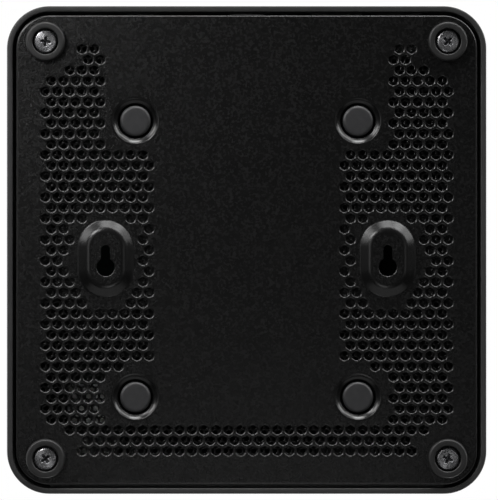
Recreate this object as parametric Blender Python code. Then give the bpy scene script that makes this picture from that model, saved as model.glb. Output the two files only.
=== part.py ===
"""Small desktop computer that stands on four rubber feet, modelled as it comes apart on a bench.

Metres, +Z up, front at -Y, rear sockets at +Y. The origin is under the middle of the case, on the
plane that the feet stand on.
"""
from collections import namedtuple
from math import asin, ceil, cos, hypot, pi, radians, sin

import bmesh
import bpy
from mathutils import Matrix, Vector

# Gap left between pieces that touch
GAP = 0.0003

# Case: one moulding, open below
CASE_WIDTH = 0.1330
CASE_DEPTH = 0.1353
CASE_HEIGHT = 0.0457
CORNER_RADIUS = 0.0118
WALL = 0.0016
TOP_WALL = 0.0020
TOP_EDGE_RADIUS = 0.0030
RIM_EDGE = 0.0004
RIM_STEP = 0.0003

# Bottom cover: one pressed sheet with a turned flange
SHEET = 0.0010
GROOVE = 0.0009
FLANGE_HEIGHT = 0.0060
COVER_EDGE = 0.0006

# Honeycomb vents in the cover
VENT_PITCH = 0.0051
VENT_WEB = 0.0009
VENT_EDGE_MARGIN = 0.0078
PANEL_FRONT_HALF_WIDTH = 0.0400
PANEL_MIDDLE_HALF_WIDTH = 0.0265
PANEL_FRONT_END = -0.0310
PANEL_REAR_END = 0.0485
VENT_CLEAR_OF_EDGES = 0.0034

# Ring feet and the cover's corner screws
FOOT_HEIGHT = 0.0025
FOOT_DIAMETER = 0.0110
FOOT_BORE = 0.0072
FOOT_ROUND = 0.0006
FOOT_INSET_X = 0.0107
FOOT_INSET_Y = 0.0098
SCREW_HEAD_DIAMETER = 0.0063
SCREW_HEAD_HEIGHT = 0.0014
SCREW_HEAD_ROUND = 0.0005
SCREW_DIAMETER = 0.0030
SCREW_LENGTH = 0.0080
CROSS_LENGTH = 0.0036
CROSS_FLOOR_LENGTH = 0.0018
CROSS_WIDTH = 0.0009
CROSS_DEPTH = 0.0009
SCREW_CLEARANCE = 0.0004
POST_DIAMETER = 0.0080

# Dishes that carry the drive, with a screw and a rubber plug in each
DISH_DIAMETER = 0.0126
DISH_FLOOR_DIAMETER = 0.0098
DISH_DEPTH = 0.0022
PLUG_DIAMETER = 0.0085
PLUG_ROUND = 0.0003
PLUG_RECESS = 0.0002
PLUG_WALL = 0.0010
PLUG_SKIN = 0.0006
DRIVE_SCREW_HEAD = 0.0052
DRIVE_SCREW_HEAD_HEIGHT = 0.0008
DRIVE_SCREW_REACH = 0.0025

# 2.5 inch drive
DRIVE_WIDTH = 0.06985
DRIVE_LENGTH = 0.1002
DRIVE_HEIGHT = 0.0070
DRIVE_CORNER = 0.0020
DRIVE_HOLES_FROM_SIDE = 0.004065
DRIVE_HOLES_FROM_PLUG_END = 0.0140
DRIVE_HOLES_Y = 0.0766
DRIVE_FROM_FRONT_WALL = 0.01625
DRIVE_SOCKET_WIDTH = 0.0334
DRIVE_SOCKET_HEIGHT = 0.0050
DRIVE_SOCKET_DEPTH = 0.0050
RISER_WIDTH = 0.0200
RISER_THICKNESS = 0.0012

# Raised wall-mount bosses
BOSS_FROM_SIDE = 0.0274
BOSS_Y = 0.0023
BOSS_WIDTH = 0.0154
BOSS_LENGTH = 0.0214
BOSS_HEIGHT = 0.0016
BOSS_SLOPE = 0.0024
BOSS_LIP = 0.0030
BOSS_PLAY = 0.0003
KEYHOLE_ENTRY = 0.0050
KEYHOLE_SLOT = 0.0024
KEYHOLE_TRAVEL = 0.0049

# Motherboard, hung on posts under the case's top
BOARD_THICKNESS = 0.0016
BOARD_HEIGHT = 0.0270
BOARD_MARGIN = 0.0104
BOARD_EDGE_GAP = 0.0060
BOARD_NOTCH = 0.0022
BOARD_POST_DIAMETER = 0.0056
BOARD_POST_INSET = 0.0050
BOARD_SCREW_DIAMETER = 0.0024
BOARD_SCREW_HEAD = 0.0046
BOARD_SCREW_HEAD_HEIGHT = 0.0010
BOARD_SCREW_LENGTH = 0.0060

# Rear sockets, set out from the two ends of the rear window
REAR_WINDOW_FROM_SIDE = 0.0135
DC_FROM_WINDOW_END = 0.0033
DC_WIDTH = 0.0094
DC_HEIGHT = 0.0104
DC_DEPTH = 0.0130
LAN_FROM_DC = 0.0048
LAN_WIDTH = 0.0160
LAN_HEIGHT = 0.0130
LAN_DEPTH = 0.0200
REAR_USB_FROM_WINDOW_END = 0.00275
REAR_USB_WIDTH = 0.0145
REAR_USB_HEIGHT = 0.0150
REAR_USB_DEPTH = 0.0152
DISPLAY_FROM_USB = 0.00275
DISPLAY_WIDTH = 0.0180
DISPLAY_HEIGHT = 0.0066
DISPLAY_DEPTH = 0.0145
HDMI_FROM_DISPLAY = 0.0018
HDMI_WIDTH = 0.0158
HDMI_HEIGHT = 0.0064
HDMI_DEPTH = 0.0118

# Front sockets, set out from the two sides of the case
FRONT_USB_FROM_SIDE = 0.01735
FRONT_USB_SPACE = 0.0027
FRONT_USB_WIDTH = 0.0143
FRONT_USB_HEIGHT = 0.0068
FRONT_USB_DEPTH = 0.0138
AUDIO_FROM_SIDE = 0.0212
AUDIO_WIDTH = 0.0066
AUDIO_HEIGHT = 0.0056
AUDIO_DEPTH = 0.0120
USB_C_FROM_AUDIO = 0.0051
USB_C_WIDTH = 0.0092
USB_C_HEIGHT = 0.0034
USB_C_DEPTH = 0.0090

# What all the sockets share
SOCKET_RECESS = 0.0007
SOCKET_PLAY = 0.0004
REAR_WINDOW_ABOVE_BOARD = 0.0005
REAR_PLATE_OVERLAP = 0.0016
REAR_PLATE_THICKNESS = 0.0008

# Mouths and tongues of the sockets
DC_MOUTH = 0.0062
DC_PIN = 0.0021
LAN_MOUTH_WIDTH = 0.0118
LAN_MOUTH_HEIGHT = 0.0068
LAN_LATCH_WIDTH = 0.0062
LAN_LATCH_HEIGHT = 0.0030
LAN_MOUTH_DEPTH = 0.0130
HDMI_MOUTH_WIDTH = 0.0140
HDMI_MOUTH_HEIGHT = 0.0046
HDMI_TAPER = 0.0017
HDMI_TONGUE_WIDTH = 0.0100
DISPLAY_MOUTH_WIDTH = 0.0161
DISPLAY_MOUTH_HEIGHT = 0.0048
DISPLAY_CORNER = 0.0022
DISPLAY_TONGUE_WIDTH = 0.0120
USB_MOUTH_WIDTH = 0.0125
USB_MOUTH_HEIGHT = 0.0050
USB_TONGUE_WIDTH = 0.0111
USB_TONGUE_HEIGHT = 0.0019
USB_STACK_PITCH = 0.0074
USB_C_MOUTH_WIDTH = 0.0084
USB_C_MOUTH_HEIGHT = 0.0026
USB_C_TONGUE_WIDTH = 0.0067
USB_C_TONGUE_HEIGHT = 0.0007
AUDIO_MOUTH = 0.0036
MOUTH_DEPTH = 0.0085
TONGUE_SHORT_OF_MOUTH = 0.0012
FLAT_TONGUE = 0.0008

# Exhaust and side slots
SLOT_WIDTH = 0.0022
SLOT_PITCH = 0.0044
EXHAUST_SLOTS = 12
SIDE_SLOTS = 12
SIDE_SLOT_HEIGHT = 0.0120
SIDE_SLOTS_BELOW_TOP = 0.0075

# Cooling: a blower beside the processor blows through fins behind the rear exhaust
BLOWER_WIDTH = 0.0560
BLOWER_HEIGHT = 0.0140
BLOWER_WALL = 0.0014
BLOWER_INLET = 0.0360
ROTOR_DIAMETER = 0.0460
ROTOR_HUB = 0.0240
ROTOR_BLADES = 23
ROTOR_BLADE_THICKNESS = 0.0010
ROTOR_END_PLAY = 0.0008
ROTOR_SWEEP = radians(26)
AXLE_DIAMETER = 0.0040
AXLE_PLAY = 0.0004
FIN_COUNT = 15
FIN_THICKNESS = 0.0012
FIN_DEPTH = 0.0110
FIN_BASE = 0.0016
FIN_REAR_GAP = 0.0030
PIPE_WIDTH = 0.0080
PIPE_HEIGHT = 0.0030
PROCESSOR_WIDTH = 0.0280
PROCESSOR_DEPTH = 0.0240
PROCESSOR_HEIGHT = 0.0014
COOLING_FROM_POST = 0.0027
PROCESSOR_GAP = 0.0060
PIPE_INSET = 0.0020

# Memory, storage and wireless cards on the underside of the board
MEMORY_WIDTH = 0.0676
MEMORY_DEPTH = 0.0300
MEMORY_THICKNESS = 0.0012
MEMORY_FROM_STORAGE = 0.0009
MEMORY_ROW_GAP = 0.0005
MEMORY_CHIP_COUNT = 4
MEMORY_CHIP_WIDTH = 0.0110
MEMORY_CHIP_DEPTH = 0.0130
MEMORY_CHIP_HEIGHT = 0.0010
MEMORY_SOCKET_DEPTH = 0.0060
MEMORY_SOCKET_HEIGHT = 0.0040
MEMORY_STACK_STEP = 0.0044
MEMORY_SOCKET_ENDS = 0.0015
EDGE_IN_SOCKET = 0.0025
CARD_WIDTH = 0.0220
CARD_THICKNESS = 0.0008
CARD_CHIP_HEIGHT = 0.0012
CARD_SOCKET_DEPTH = 0.0050
CARD_SOCKET_HEIGHT = 0.0042
CARD_SOCKET_ENDS = 0.0005
CARD_POST_DIAMETER = 0.0040
STORAGE_LENGTH = 0.0420
STORAGE_FROM_SCREW = 0.00185
STORAGE_CHIP_COUNT = 2
STORAGE_CHIP_WIDTH = 0.0140
STORAGE_CHIP_DEPTH = 0.0120
STORAGE_EDGE_GAP = 0.0012
WIRELESS_LENGTH = 0.0300
WIRELESS_SHIELD = 0.0125
WIRELESS_REAR_GAP = 0.0005
COIN_CELL_DIAMETER = 0.0200
COIN_CELL_HEIGHT = 0.0032
COIN_CELL_X = 0.0020
COIN_CELL_FROM_LAN = 0.0030
ANTENNA_LENGTH = 0.0300
ANTENNA_WIDTH = 0.0070
ANTENNA_THICKNESS = 0.0008
ANTENNA_FROM_POST = 0.0058
ANTENNA_FROM_WALL = 0.0060

# Power button, its switch and the status light, in the middle of the front
BUTTON_DIAMETER = 0.0100
BUTTON_ROUND = 0.0004
BUTTON_RECESS = 0.0002
BUTTON_TRAVEL = 0.0008
BUTTON_PLAY = 0.0004
BUTTON_COLLAR_WIDTH = 0.0010
BUTTON_COLLAR_THICKNESS = 0.0008
SWITCH_WIDTH = 0.0060
SWITCH_DEPTH = 0.0060
PLUNGER_DIAMETER = 0.0030
PLUNGER_LENGTH = 0.0010
LIGHT_DIAMETER = 0.0016
LIGHT_LENGTH = 0.0100
LIGHT_X = 0.0105

# Steps round circles and corners
ROUND_STEPS = 16
POST_STEPS = 10
CORNER_STEPS = 6
# How far a quarter arc's middle lies from its corner, as a share of its radius
ARC_MIDDLE = 1 - 0.5 ** 0.5

# Levels worked out from the sizes above
COVER_Z = FOOT_HEIGHT
COVER_INSIDE_Z = COVER_Z + SHEET
RIM_Z = COVER_Z + RIM_STEP
TOP_Z = RIM_Z + CASE_HEIGHT
CEILING_Z = TOP_Z - TOP_WALL
DISH_Z = COVER_Z + DISH_DEPTH
DRIVE_Z = DISH_Z + SHEET + GAP
BOARD_Z = BOARD_HEIGHT
BOARD_TOP_Z = BOARD_Z + BOARD_THICKNESS

# Places worked out from the sizes above
FOOT_X = CASE_WIDTH / 2 - FOOT_INSET_X
FOOT_Y = CASE_DEPTH / 2 - FOOT_INSET_Y
COVER_WIDTH = CASE_WIDTH - 2 * (WALL + GROOVE)
COVER_DEPTH = CASE_DEPTH - 2 * (WALL + GROOVE)
INSIDE_DEPTH = CASE_DEPTH - 2 * WALL
BOARD_WIDTH = CASE_WIDTH - 2 * (WALL + BOARD_MARGIN)
BOARD_DEPTH = INSIDE_DEPTH - 2 * BOARD_EDGE_GAP
BOARD_POST_X = BOARD_WIDTH / 2 - BOARD_POST_INSET
BOARD_POST_Y = FOOT_Y - POST_DIAMETER / 2 - BOARD_NOTCH - BOARD_POST_INSET
DRIVE_FRONT_Y = DRIVE_FROM_FRONT_WALL - INSIDE_DEPTH / 2
DRIVE_CENTRE_Y = DRIVE_FRONT_Y + DRIVE_HOLES_FROM_PLUG_END + DRIVE_HOLES_Y / 2
DRIVE_HOLES_X = DRIVE_WIDTH - 2 * DRIVE_HOLES_FROM_SIDE
DRIVE_SOCKET_Y = DRIVE_FRONT_Y - GAP
RISER_Y = DRIVE_SOCKET_Y - DRIVE_SOCKET_DEPTH - GAP
REAR_SOCKET_Y = CASE_DEPTH / 2 - SOCKET_RECESS
FRONT_SOCKET_Y = -REAR_SOCKET_Y
REAR_WINDOW_HALF_WIDTH = CASE_WIDTH / 2 - REAR_WINDOW_FROM_SIDE
REAR_WINDOW_LOW = COVER_Z + FLANGE_HEIGHT + GAP + REAR_PLATE_OVERLAP
REAR_WINDOW_HIGH = BOARD_Z + REAR_WINDOW_ABOVE_BOARD

# Sockets: place across the case, then width, height and depth
Socket = namedtuple("Socket", "x width height depth")
DC_X = REAR_WINDOW_HALF_WIDTH - DC_FROM_WINDOW_END - DC_WIDTH / 2
DC_JACK = Socket(DC_X, DC_WIDTH, DC_HEIGHT, DC_DEPTH)
LAN_X = DC_X - DC_WIDTH / 2 - LAN_FROM_DC - LAN_WIDTH / 2
LAN_PORT = Socket(LAN_X, LAN_WIDTH, LAN_HEIGHT, LAN_DEPTH)
REAR_USB_X = REAR_USB_FROM_WINDOW_END + REAR_USB_WIDTH / 2 - REAR_WINDOW_HALF_WIDTH
REAR_USB = Socket(REAR_USB_X, REAR_USB_WIDTH, REAR_USB_HEIGHT, REAR_USB_DEPTH)
DISPLAY_X = REAR_USB_X + REAR_USB_WIDTH / 2 + DISPLAY_FROM_USB + DISPLAY_WIDTH / 2
DISPLAY_PORT = Socket(DISPLAY_X, DISPLAY_WIDTH, DISPLAY_HEIGHT, DISPLAY_DEPTH)
HDMI_X = DISPLAY_X + DISPLAY_WIDTH / 2 + HDMI_FROM_DISPLAY + HDMI_WIDTH / 2
HDMI_PORT = Socket(HDMI_X, HDMI_WIDTH, HDMI_HEIGHT, HDMI_DEPTH)
USB_RIGHT_X = CASE_WIDTH / 2 - FRONT_USB_FROM_SIDE - FRONT_USB_WIDTH / 2
FRONT_USB_RIGHT = Socket(USB_RIGHT_X, FRONT_USB_WIDTH, FRONT_USB_HEIGHT, FRONT_USB_DEPTH)
USB_LEFT_X = USB_RIGHT_X - FRONT_USB_WIDTH - FRONT_USB_SPACE
FRONT_USB_LEFT = Socket(USB_LEFT_X, FRONT_USB_WIDTH, FRONT_USB_HEIGHT, FRONT_USB_DEPTH)
AUDIO_X = AUDIO_FROM_SIDE + AUDIO_WIDTH / 2 - CASE_WIDTH / 2
AUDIO_JACK = Socket(AUDIO_X, AUDIO_WIDTH, AUDIO_HEIGHT, AUDIO_DEPTH)
USB_C_X = AUDIO_X + AUDIO_WIDTH / 2 + USB_C_FROM_AUDIO + USB_C_WIDTH / 2
FRONT_USB_C = Socket(USB_C_X, USB_C_WIDTH, USB_C_HEIGHT, USB_C_DEPTH)

# Cooling, cards and button, placed from the pieces beside them
BLOWER_Z = BOARD_TOP_Z + GAP
PROCESSOR_TOP_Z = BOARD_TOP_Z + GAP + PROCESSOR_HEIGHT
PIPE_Z = PROCESSOR_TOP_Z + GAP
FIN_Z = PIPE_Z + PIPE_HEIGHT + GAP
FIN_TOP_Z = BLOWER_Z + BLOWER_HEIGHT
FIN_REAR_Y = INSIDE_DEPTH / 2 - FIN_REAR_GAP
BLOWER_REAR_Y = FIN_REAR_Y - FIN_DEPTH - GAP
BLOWER_Y = BLOWER_REAR_Y - BLOWER_WIDTH / 2
COOLING_CENTRE_X = BOARD_POST_X - BOARD_POST_DIAMETER / 2 - COOLING_FROM_POST - BLOWER_WIDTH / 2
PROCESSOR_X = COOLING_CENTRE_X - BLOWER_WIDTH / 2 - PROCESSOR_GAP - PROCESSOR_WIDTH / 2
BUTTON_Z = BOARD_TOP_Z + GAP + SWITCH_WIDTH / 2
LIGHT_Z = BOARD_TOP_Z + GAP + LIGHT_DIAMETER / 2
CARD_Z = BOARD_Z - GAP - CARD_SOCKET_HEIGHT / 2
STORAGE_X = BOARD_WIDTH / 2 - STORAGE_EDGE_GAP - CARD_WIDTH / 2
STORAGE_SOCKET_Y = STORAGE_FROM_SCREW + BOARD_SCREW_HEAD / 2 - BOARD_POST_Y
STORAGE_Y = STORAGE_SOCKET_Y + CARD_SOCKET_DEPTH - EDGE_IN_SOCKET + STORAGE_LENGTH / 2
MEMORY_SOCKET_WIDTH = MEMORY_WIDTH + 2 * (GAP + MEMORY_SOCKET_ENDS)
MEMORY_RIGHT_X = STORAGE_X - CARD_WIDTH / 2 - GAP - CARD_SOCKET_ENDS - MEMORY_FROM_STORAGE
MEMORY_X = MEMORY_RIGHT_X - MEMORY_SOCKET_WIDTH / 2
ANTENNA_X = FOOT_X - POST_DIAMETER / 2 - ANTENNA_FROM_POST - ANTENNA_LENGTH / 2
WIRELESS_X = -BOARD_WIDTH / 2 + CARD_WIDTH / 2
WIRELESS_Y = REAR_SOCKET_Y - REAR_USB.depth - WIRELESS_REAR_GAP - WIRELESS_LENGTH / 2
CORNERS = {
    "front_left": (-1, -1),
    "front_right": (1, -1),
    "rear_left": (-1, 1),
    "rear_right": (1, 1),
}


def finish(name, colour, roughness, metallic=0.0):
    """A Principled material with one colour."""
    material = bpy.data.materials.new(name)
    material.use_nodes = True
    shader = material.node_tree.nodes["Principled BSDF"]
    shader.inputs["Base Color"].default_value = (*colour, 1.0)
    shader.inputs["Roughness"].default_value = roughness
    shader.inputs["Metallic"].default_value = metallic
    material.diffuse_color = (*colour, 1.0)
    return material


def add_object(name, bm, material, location=(0, 0, 0), rotation=(0, 0, 0), smooth=False):
    """Turns a bmesh into a named object with outward faces."""
    bmesh.ops.recalc_face_normals(bm, faces=bm.faces)
    mesh = bpy.data.meshes.new(name)
    bm.to_mesh(mesh)
    bm.free()
    mesh.materials.append(material)
    if smooth:
        mesh.shade_smooth()
        mesh.set_sharp_from_angle(angle=radians(40))
    thing = bpy.data.objects.new(name, mesh)
    bpy.context.collection.objects.link(thing)
    thing.location = location
    thing.rotation_euler = rotation
    return thing


def rectangle(width, depth, centre=(0, 0)):
    """Four corners, anticlockwise."""
    x, y = width / 2, depth / 2
    return [(centre[0] + a, centre[1] + b) for a, b in ((-x, -y), (x, -y), (x, y), (-x, y))]


def circle(diameter, steps, centre=(0, 0), start=0.0):
    """A regular polygon on a circle, anticlockwise."""
    turns = [start + 2 * pi * i / steps for i in range(steps)]
    return [(centre[0] + diameter / 2 * cos(a), centre[1] + diameter / 2 * sin(a)) for a in turns]


def rounded_rectangle(width, depth, radius, steps, centre=(0, 0)):
    """A rectangle whose corners are arcs, anticlockwise."""
    points = []
    for quarter, (a, b) in enumerate(((1, 1), (-1, 1), (-1, -1), (1, -1))):
        x = centre[0] + a * (width / 2 - radius)
        y = centre[1] + b * (depth / 2 - radius)
        for i in range(steps + 1):
            angle = pi / 2 * (quarter + i / steps)
            points.append((x + radius * cos(angle), y + radius * sin(angle)))
    return points


def keyhole():
    """Round entry towards +Y and a slot with a round end towards -Y, anticlockwise."""
    centre_y = KEYHOLE_TRAVEL / 2
    half_slot = KEYHOLE_SLOT / 2
    neck = asin(KEYHOLE_SLOT / KEYHOLE_ENTRY)
    points = []
    for i in range(13):
        angle = -pi / 2 + neck + 2 * (pi - neck) * i / 12
        x = KEYHOLE_ENTRY / 2 * cos(angle)
        points.append((x, centre_y + KEYHOLE_ENTRY / 2 * sin(angle)))
    for i in range(7):
        angle = pi + pi * i / 6
        points.append((half_slot * cos(angle), -centre_y + half_slot * sin(angle)))
    return points


def cross(length, width):
    """A plus sign, anticlockwise."""
    a, b = length / 2, width / 2
    quarter = [(a, -b), (a, b), (b, b)]
    points = []
    for turn in range(4):
        c, s = cos(pi / 2 * turn), sin(pi / 2 * turn)
        points += [(x * c - y * s, x * s + y * c) for x, y in quarter]
    return points


def loop_at(bm, outline, z):
    """Vertices of a flat outline at one height."""
    return [bm.verts.new((x, y, z)) for x, y in outline]


def edges_of(bm, loop):
    """The edges round a closed loop, made where they are missing."""
    edges = []
    for a, b in zip(loop, loop[1:] + loop[:1]):
        edges.append(bm.edges.get((a, b)) or bm.edges.new((a, b)))
    return edges


def wall_between(bm, lower, upper):
    """Quads between two loops of as many points."""
    for i in range(len(lower)):
        j = (i + 1) % len(lower)
        bm.faces.new((lower[i], lower[j], upper[j], upper[i]))


def fill(bm, loops):
    """Flat faces inside the first loop and outside the others."""
    edges = []
    for loop in loops:
        edges += edges_of(bm, loop)
    normal = Vector((0, 0, 1))
    bmesh.ops.triangle_fill(bm, use_beauty=True, use_dissolve=False, edges=edges, normal=normal)


def prism(name, outline, low, high, material, holes=(), **placing):
    """An upright plate or block with through holes."""
    bm = bmesh.new()
    levels = []
    for z in (low, high):
        loops = [loop_at(bm, points, z) for points in (outline, *holes)]
        fill(bm, loops)
        levels.append(loops)
    for below, above in zip(*levels):
        wall_between(bm, below, above)
    return add_object(name, bm, material, **placing)


def turned(name, profile, material, steps=ROUND_STEPS, **placing):
    """A solid of revolution about Z. The profile is (radius, z) pairs, closed on the axis or on itself."""
    bm = bmesh.new()
    rings = []
    for radius, z in profile:
        if radius == 0:
            rings.append([bm.verts.new((0, 0, z))])
        else:
            rings.append(loop_at(bm, circle(2 * radius, steps), z))
    pairs = list(zip(rings, rings[1:]))
    if len(rings[0]) > 1:
        pairs.append((rings[-1], rings[0]))
    for a, b in pairs:
        if len(a) == 1 or len(b) == 1:
            tip, ring = (a[0], b) if len(a) == 1 else (b[0], a)
            for i in range(steps):
                bm.faces.new((tip, ring[i], ring[(i + 1) % steps]))
        else:
            wall_between(bm, a, b)
    return add_object(name, bm, material, smooth=True, **placing)


def pocketed_block(name, outline, depth, pockets, material, holes=(), **placing):
    """A block below z = 0 whose upper face has pockets, and through holes.

    Each pocket is (outline, depth) or (outline, depth, tongue outline, tongue length). A tongue stands
    up from the pocket's floor, and a pocket with a depth below zero stands up as a boss.
    """
    bm = bmesh.new()
    face = loop_at(bm, outline, 0)
    back = loop_at(bm, outline, -depth)
    wall_between(bm, back, face)
    mouths = [loop_at(bm, points, 0) for points in holes]
    ends = [loop_at(bm, points, -depth) for points in holes]
    for mouth, end in zip(mouths, ends):
        wall_between(bm, end, mouth)
    fill(bm, [back] + ends)
    for mouth_outline, pocket_depth, *tongue in pockets:
        mouth = loop_at(bm, mouth_outline, 0)
        floor = loop_at(bm, mouth_outline, -pocket_depth)
        wall_between(bm, floor, mouth)
        inside = [floor]
        if tongue:
            foot = loop_at(bm, tongue[0], -pocket_depth)
            tip = loop_at(bm, tongue[0], tongue[1] - pocket_depth)
            wall_between(bm, foot, tip)
            bm.faces.new(tip)
            inside.append(foot)
        fill(bm, inside)
        mouths.append(mouth)
    fill(bm, [face] + mouths)
    return add_object(name, bm, material, **placing)


def cut(target, name, blocks):
    """Cuts a set of boxes or prisms, given as (outline, low, high, rotation), out of an object."""
    bm = bmesh.new()
    for outline, low, high, turn in blocks:
        below = loop_at(bm, outline, low)
        above = loop_at(bm, outline, high)
        wall_between(bm, below, above)
        bm.faces.new(below)
        bm.faces.new(above)
        bmesh.ops.rotate(bm, verts=below + above, cent=(0, 0, 0), matrix=turn)
    cutter = add_object(name, bm, target.data.materials[0])
    cutter.hide_render = True
    cutter.display_type = 'WIRE'
    modifier = target.modifiers.new(name, 'BOOLEAN')
    modifier.operation = 'DIFFERENCE'
    modifier.solver = 'EXACT'
    modifier.object = cutter


def inset(outline_inset):
    """The case's outline, moved in by one distance."""
    width = CASE_WIDTH - 2 * outline_inset
    depth = CASE_DEPTH - 2 * outline_inset
    return rounded_rectangle(width, depth, CORNER_RADIUS - outline_inset, CORNER_STEPS)


def case_shell():
    """Top and walls, with screw posts under the top and openings in every side."""
    bm = bmesh.new()
    round_start = TOP_Z - TOP_EDGE_RADIUS
    levels = [(WALL, RIM_Z), (RIM_EDGE, RIM_Z), (0, RIM_Z + RIM_EDGE), (0, round_start)]
    for i in (1, 2, 3):
        angle = pi / 2 * i / 3
        level = (TOP_EDGE_RADIUS * (1 - cos(angle)), round_start + TOP_EDGE_RADIUS * sin(angle))
        levels.append(level)
    loops = [loop_at(bm, inset(away), z) for away, z in levels]
    for below, above in zip(loops, loops[1:]):
        wall_between(bm, below, above)
    fill(bm, [loops[-1]])
    ceiling = loop_at(bm, inset(WALL), CEILING_Z)
    wall_between(bm, loops[0], ceiling)
    posts = []
    for a, b in CORNERS.values():
        posts.append(((a * FOOT_X, b * FOOT_Y), COVER_INSIDE_Z + GAP, POST_DIAMETER,
                      SCREW_DIAMETER + SCREW_CLEARANCE, SCREW_LENGTH))
        posts.append(((a * BOARD_POST_X, b * BOARD_POST_Y), BOARD_TOP_Z + GAP, BOARD_POST_DIAMETER,
                      BOARD_SCREW_DIAMETER + SCREW_CLEARANCE, BOARD_SCREW_LENGTH))
    roots = []
    for centre, end_z, diameter, bore, bore_depth in posts:
        root = loop_at(bm, circle(diameter, POST_STEPS, centre), CEILING_Z)
        end = loop_at(bm, circle(diameter, POST_STEPS, centre), end_z)
        mouth = loop_at(bm, circle(bore, POST_STEPS, centre), end_z)
        floor = loop_at(bm, circle(bore, POST_STEPS, centre), end_z + bore_depth)
        for below, above in ((end, root), (mouth, end), (floor, mouth)):
            wall_between(bm, below, above)
        bm.faces.new(floor)
        roots.append(root)
    fill(bm, [ceiling] + roots)
    shell = add_object("case_shell", bm, CASE_FINISH, smooth=True)
    cut(shell, "case_openings", case_openings())


def row(count, pitch, centre=0.0):
    """Evenly spaced places about a centre."""
    return [centre + pitch * (i - (count - 1) / 2) for i in range(count)]


def case_openings():
    """Rear window, exhaust and side slots, front socket openings, button and light holes."""
    through = 3 * WALL
    upright = Matrix.Identity(3)
    forward = Matrix.Rotation(pi / 2, 3, 'X')
    front_y, rear_y = -CASE_DEPTH / 2, CASE_DEPTH / 2
    window = rectangle(2 * REAR_WINDOW_HALF_WIDTH, through, (0, rear_y))
    blocks = [(window, REAR_WINDOW_LOW, REAR_WINDOW_HIGH, upright)]
    for x in row(EXHAUST_SLOTS, SLOT_PITCH, COOLING_CENTRE_X):
        slot = rectangle(SLOT_WIDTH, through, (x, rear_y))
        blocks.append((slot, FIN_Z + FIN_BASE, FIN_TOP_Z, upright))
    side_high = TOP_Z - SIDE_SLOTS_BELOW_TOP
    for side in (-1, 1):
        for y in row(SIDE_SLOTS, SLOT_PITCH):
            slot = rectangle(through, SLOT_WIDTH, (side * CASE_WIDTH / 2, y))
            blocks.append((slot, side_high - SIDE_SLOT_HEIGHT, side_high, upright))
    for socket in (FRONT_USB_LEFT, FRONT_USB_RIGHT, FRONT_USB_C, AUDIO_JACK):
        mouth = rectangle(socket.width + 2 * SOCKET_PLAY, through, (socket.x, front_y))
        low = BOARD_Z - GAP - socket.height - SOCKET_PLAY
        blocks.append((mouth, low, BOARD_Z - GAP + SOCKET_PLAY, upright))
    low, high = CASE_DEPTH / 2 - through / 2, CASE_DEPTH / 2 + through / 2
    button = circle(BUTTON_DIAMETER + 2 * BUTTON_PLAY, ROUND_STEPS, (0, BUTTON_Z))
    light = circle(LIGHT_DIAMETER + 2 * BUTTON_PLAY, POST_STEPS, (LIGHT_X, LIGHT_Z))
    blocks += [(button, low, high, forward), (light, low, high, forward)]
    return blocks


def stadium(width, length, centre, steps=8):
    """Two half circles joined by straight sides along Y, anticlockwise."""
    points = []
    for end, start in ((1, 0), (-1, pi)):
        for i in range(steps + 1):
            angle = start + pi * i / steps
            x = centre[0] + width / 2 * cos(angle)
            points.append((x, centre[1] + end * (length - width) / 2 + width / 2 * sin(angle)))
    return points


def boss_centres():
    x = CASE_WIDTH / 2 - BOSS_FROM_SIDE
    return {"left": (-x, BOSS_Y), "right": (x, BOSS_Y)}


def dish_centre(corner):
    a, b = CORNERS[corner]
    return (a * DRIVE_HOLES_X / 2, DRIVE_CENTRE_Y + b * DRIVE_HOLES_Y / 2)


def vent_is_clear(x, y):
    """True where the cover has room for a vent: off the plain panel, feet, dishes and bosses."""
    panel_half = PANEL_MIDDLE_HALF_WIDTH if y > PANEL_FRONT_END else PANEL_FRONT_HALF_WIDTH
    if y < PANEL_REAR_END and abs(x) < panel_half:
        return False
    margin = VENT_PITCH / 2 + VENT_CLEAR_OF_EDGES - VENT_WEB
    if hypot(abs(x) - FOOT_X, abs(y) - FOOT_Y) < FOOT_DIAMETER / 2 + margin:
        return False
    for corner in CORNERS:
        centre = dish_centre(corner)
        if hypot(x - centre[0], y - centre[1]) < DISH_DIAMETER / 2 + margin:
            return False
    straight = (BOSS_LENGTH - BOSS_WIDTH) / 2
    for centre in boss_centres().values():
        beyond = max(0, abs(y - centre[1]) - straight)
        if hypot(x - centre[0], beyond) < BOSS_WIDTH / 2 + BOSS_PLAY + margin:
            return False
    return True


def vents():
    """Hexagons in staggered rows, mirrored about the middle."""
    row_pitch = VENT_PITCH * 3 ** 0.5 / 2
    half_width = COVER_WIDTH / 2 - VENT_EDGE_MARGIN
    half_depth = COVER_DEPTH / 2 - VENT_EDGE_MARGIN
    rows = int(half_depth / row_pitch)
    across_corners = (VENT_PITCH - VENT_WEB) * 2 / 3 ** 0.5
    holes = []
    for k in range(-rows, rows + 1):
        shift = VENT_PITCH / 2 * (k % 2)
        columns = ceil(half_width / VENT_PITCH)
        for i in range(-columns - 1, columns + 1):
            centre = (VENT_PITCH * i + shift, row_pitch * k)
            if abs(centre[0]) <= half_width and vent_is_clear(*centre):
                holes.append(circle(across_corners, 6, centre, start=pi / 2))
    return holes


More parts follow.
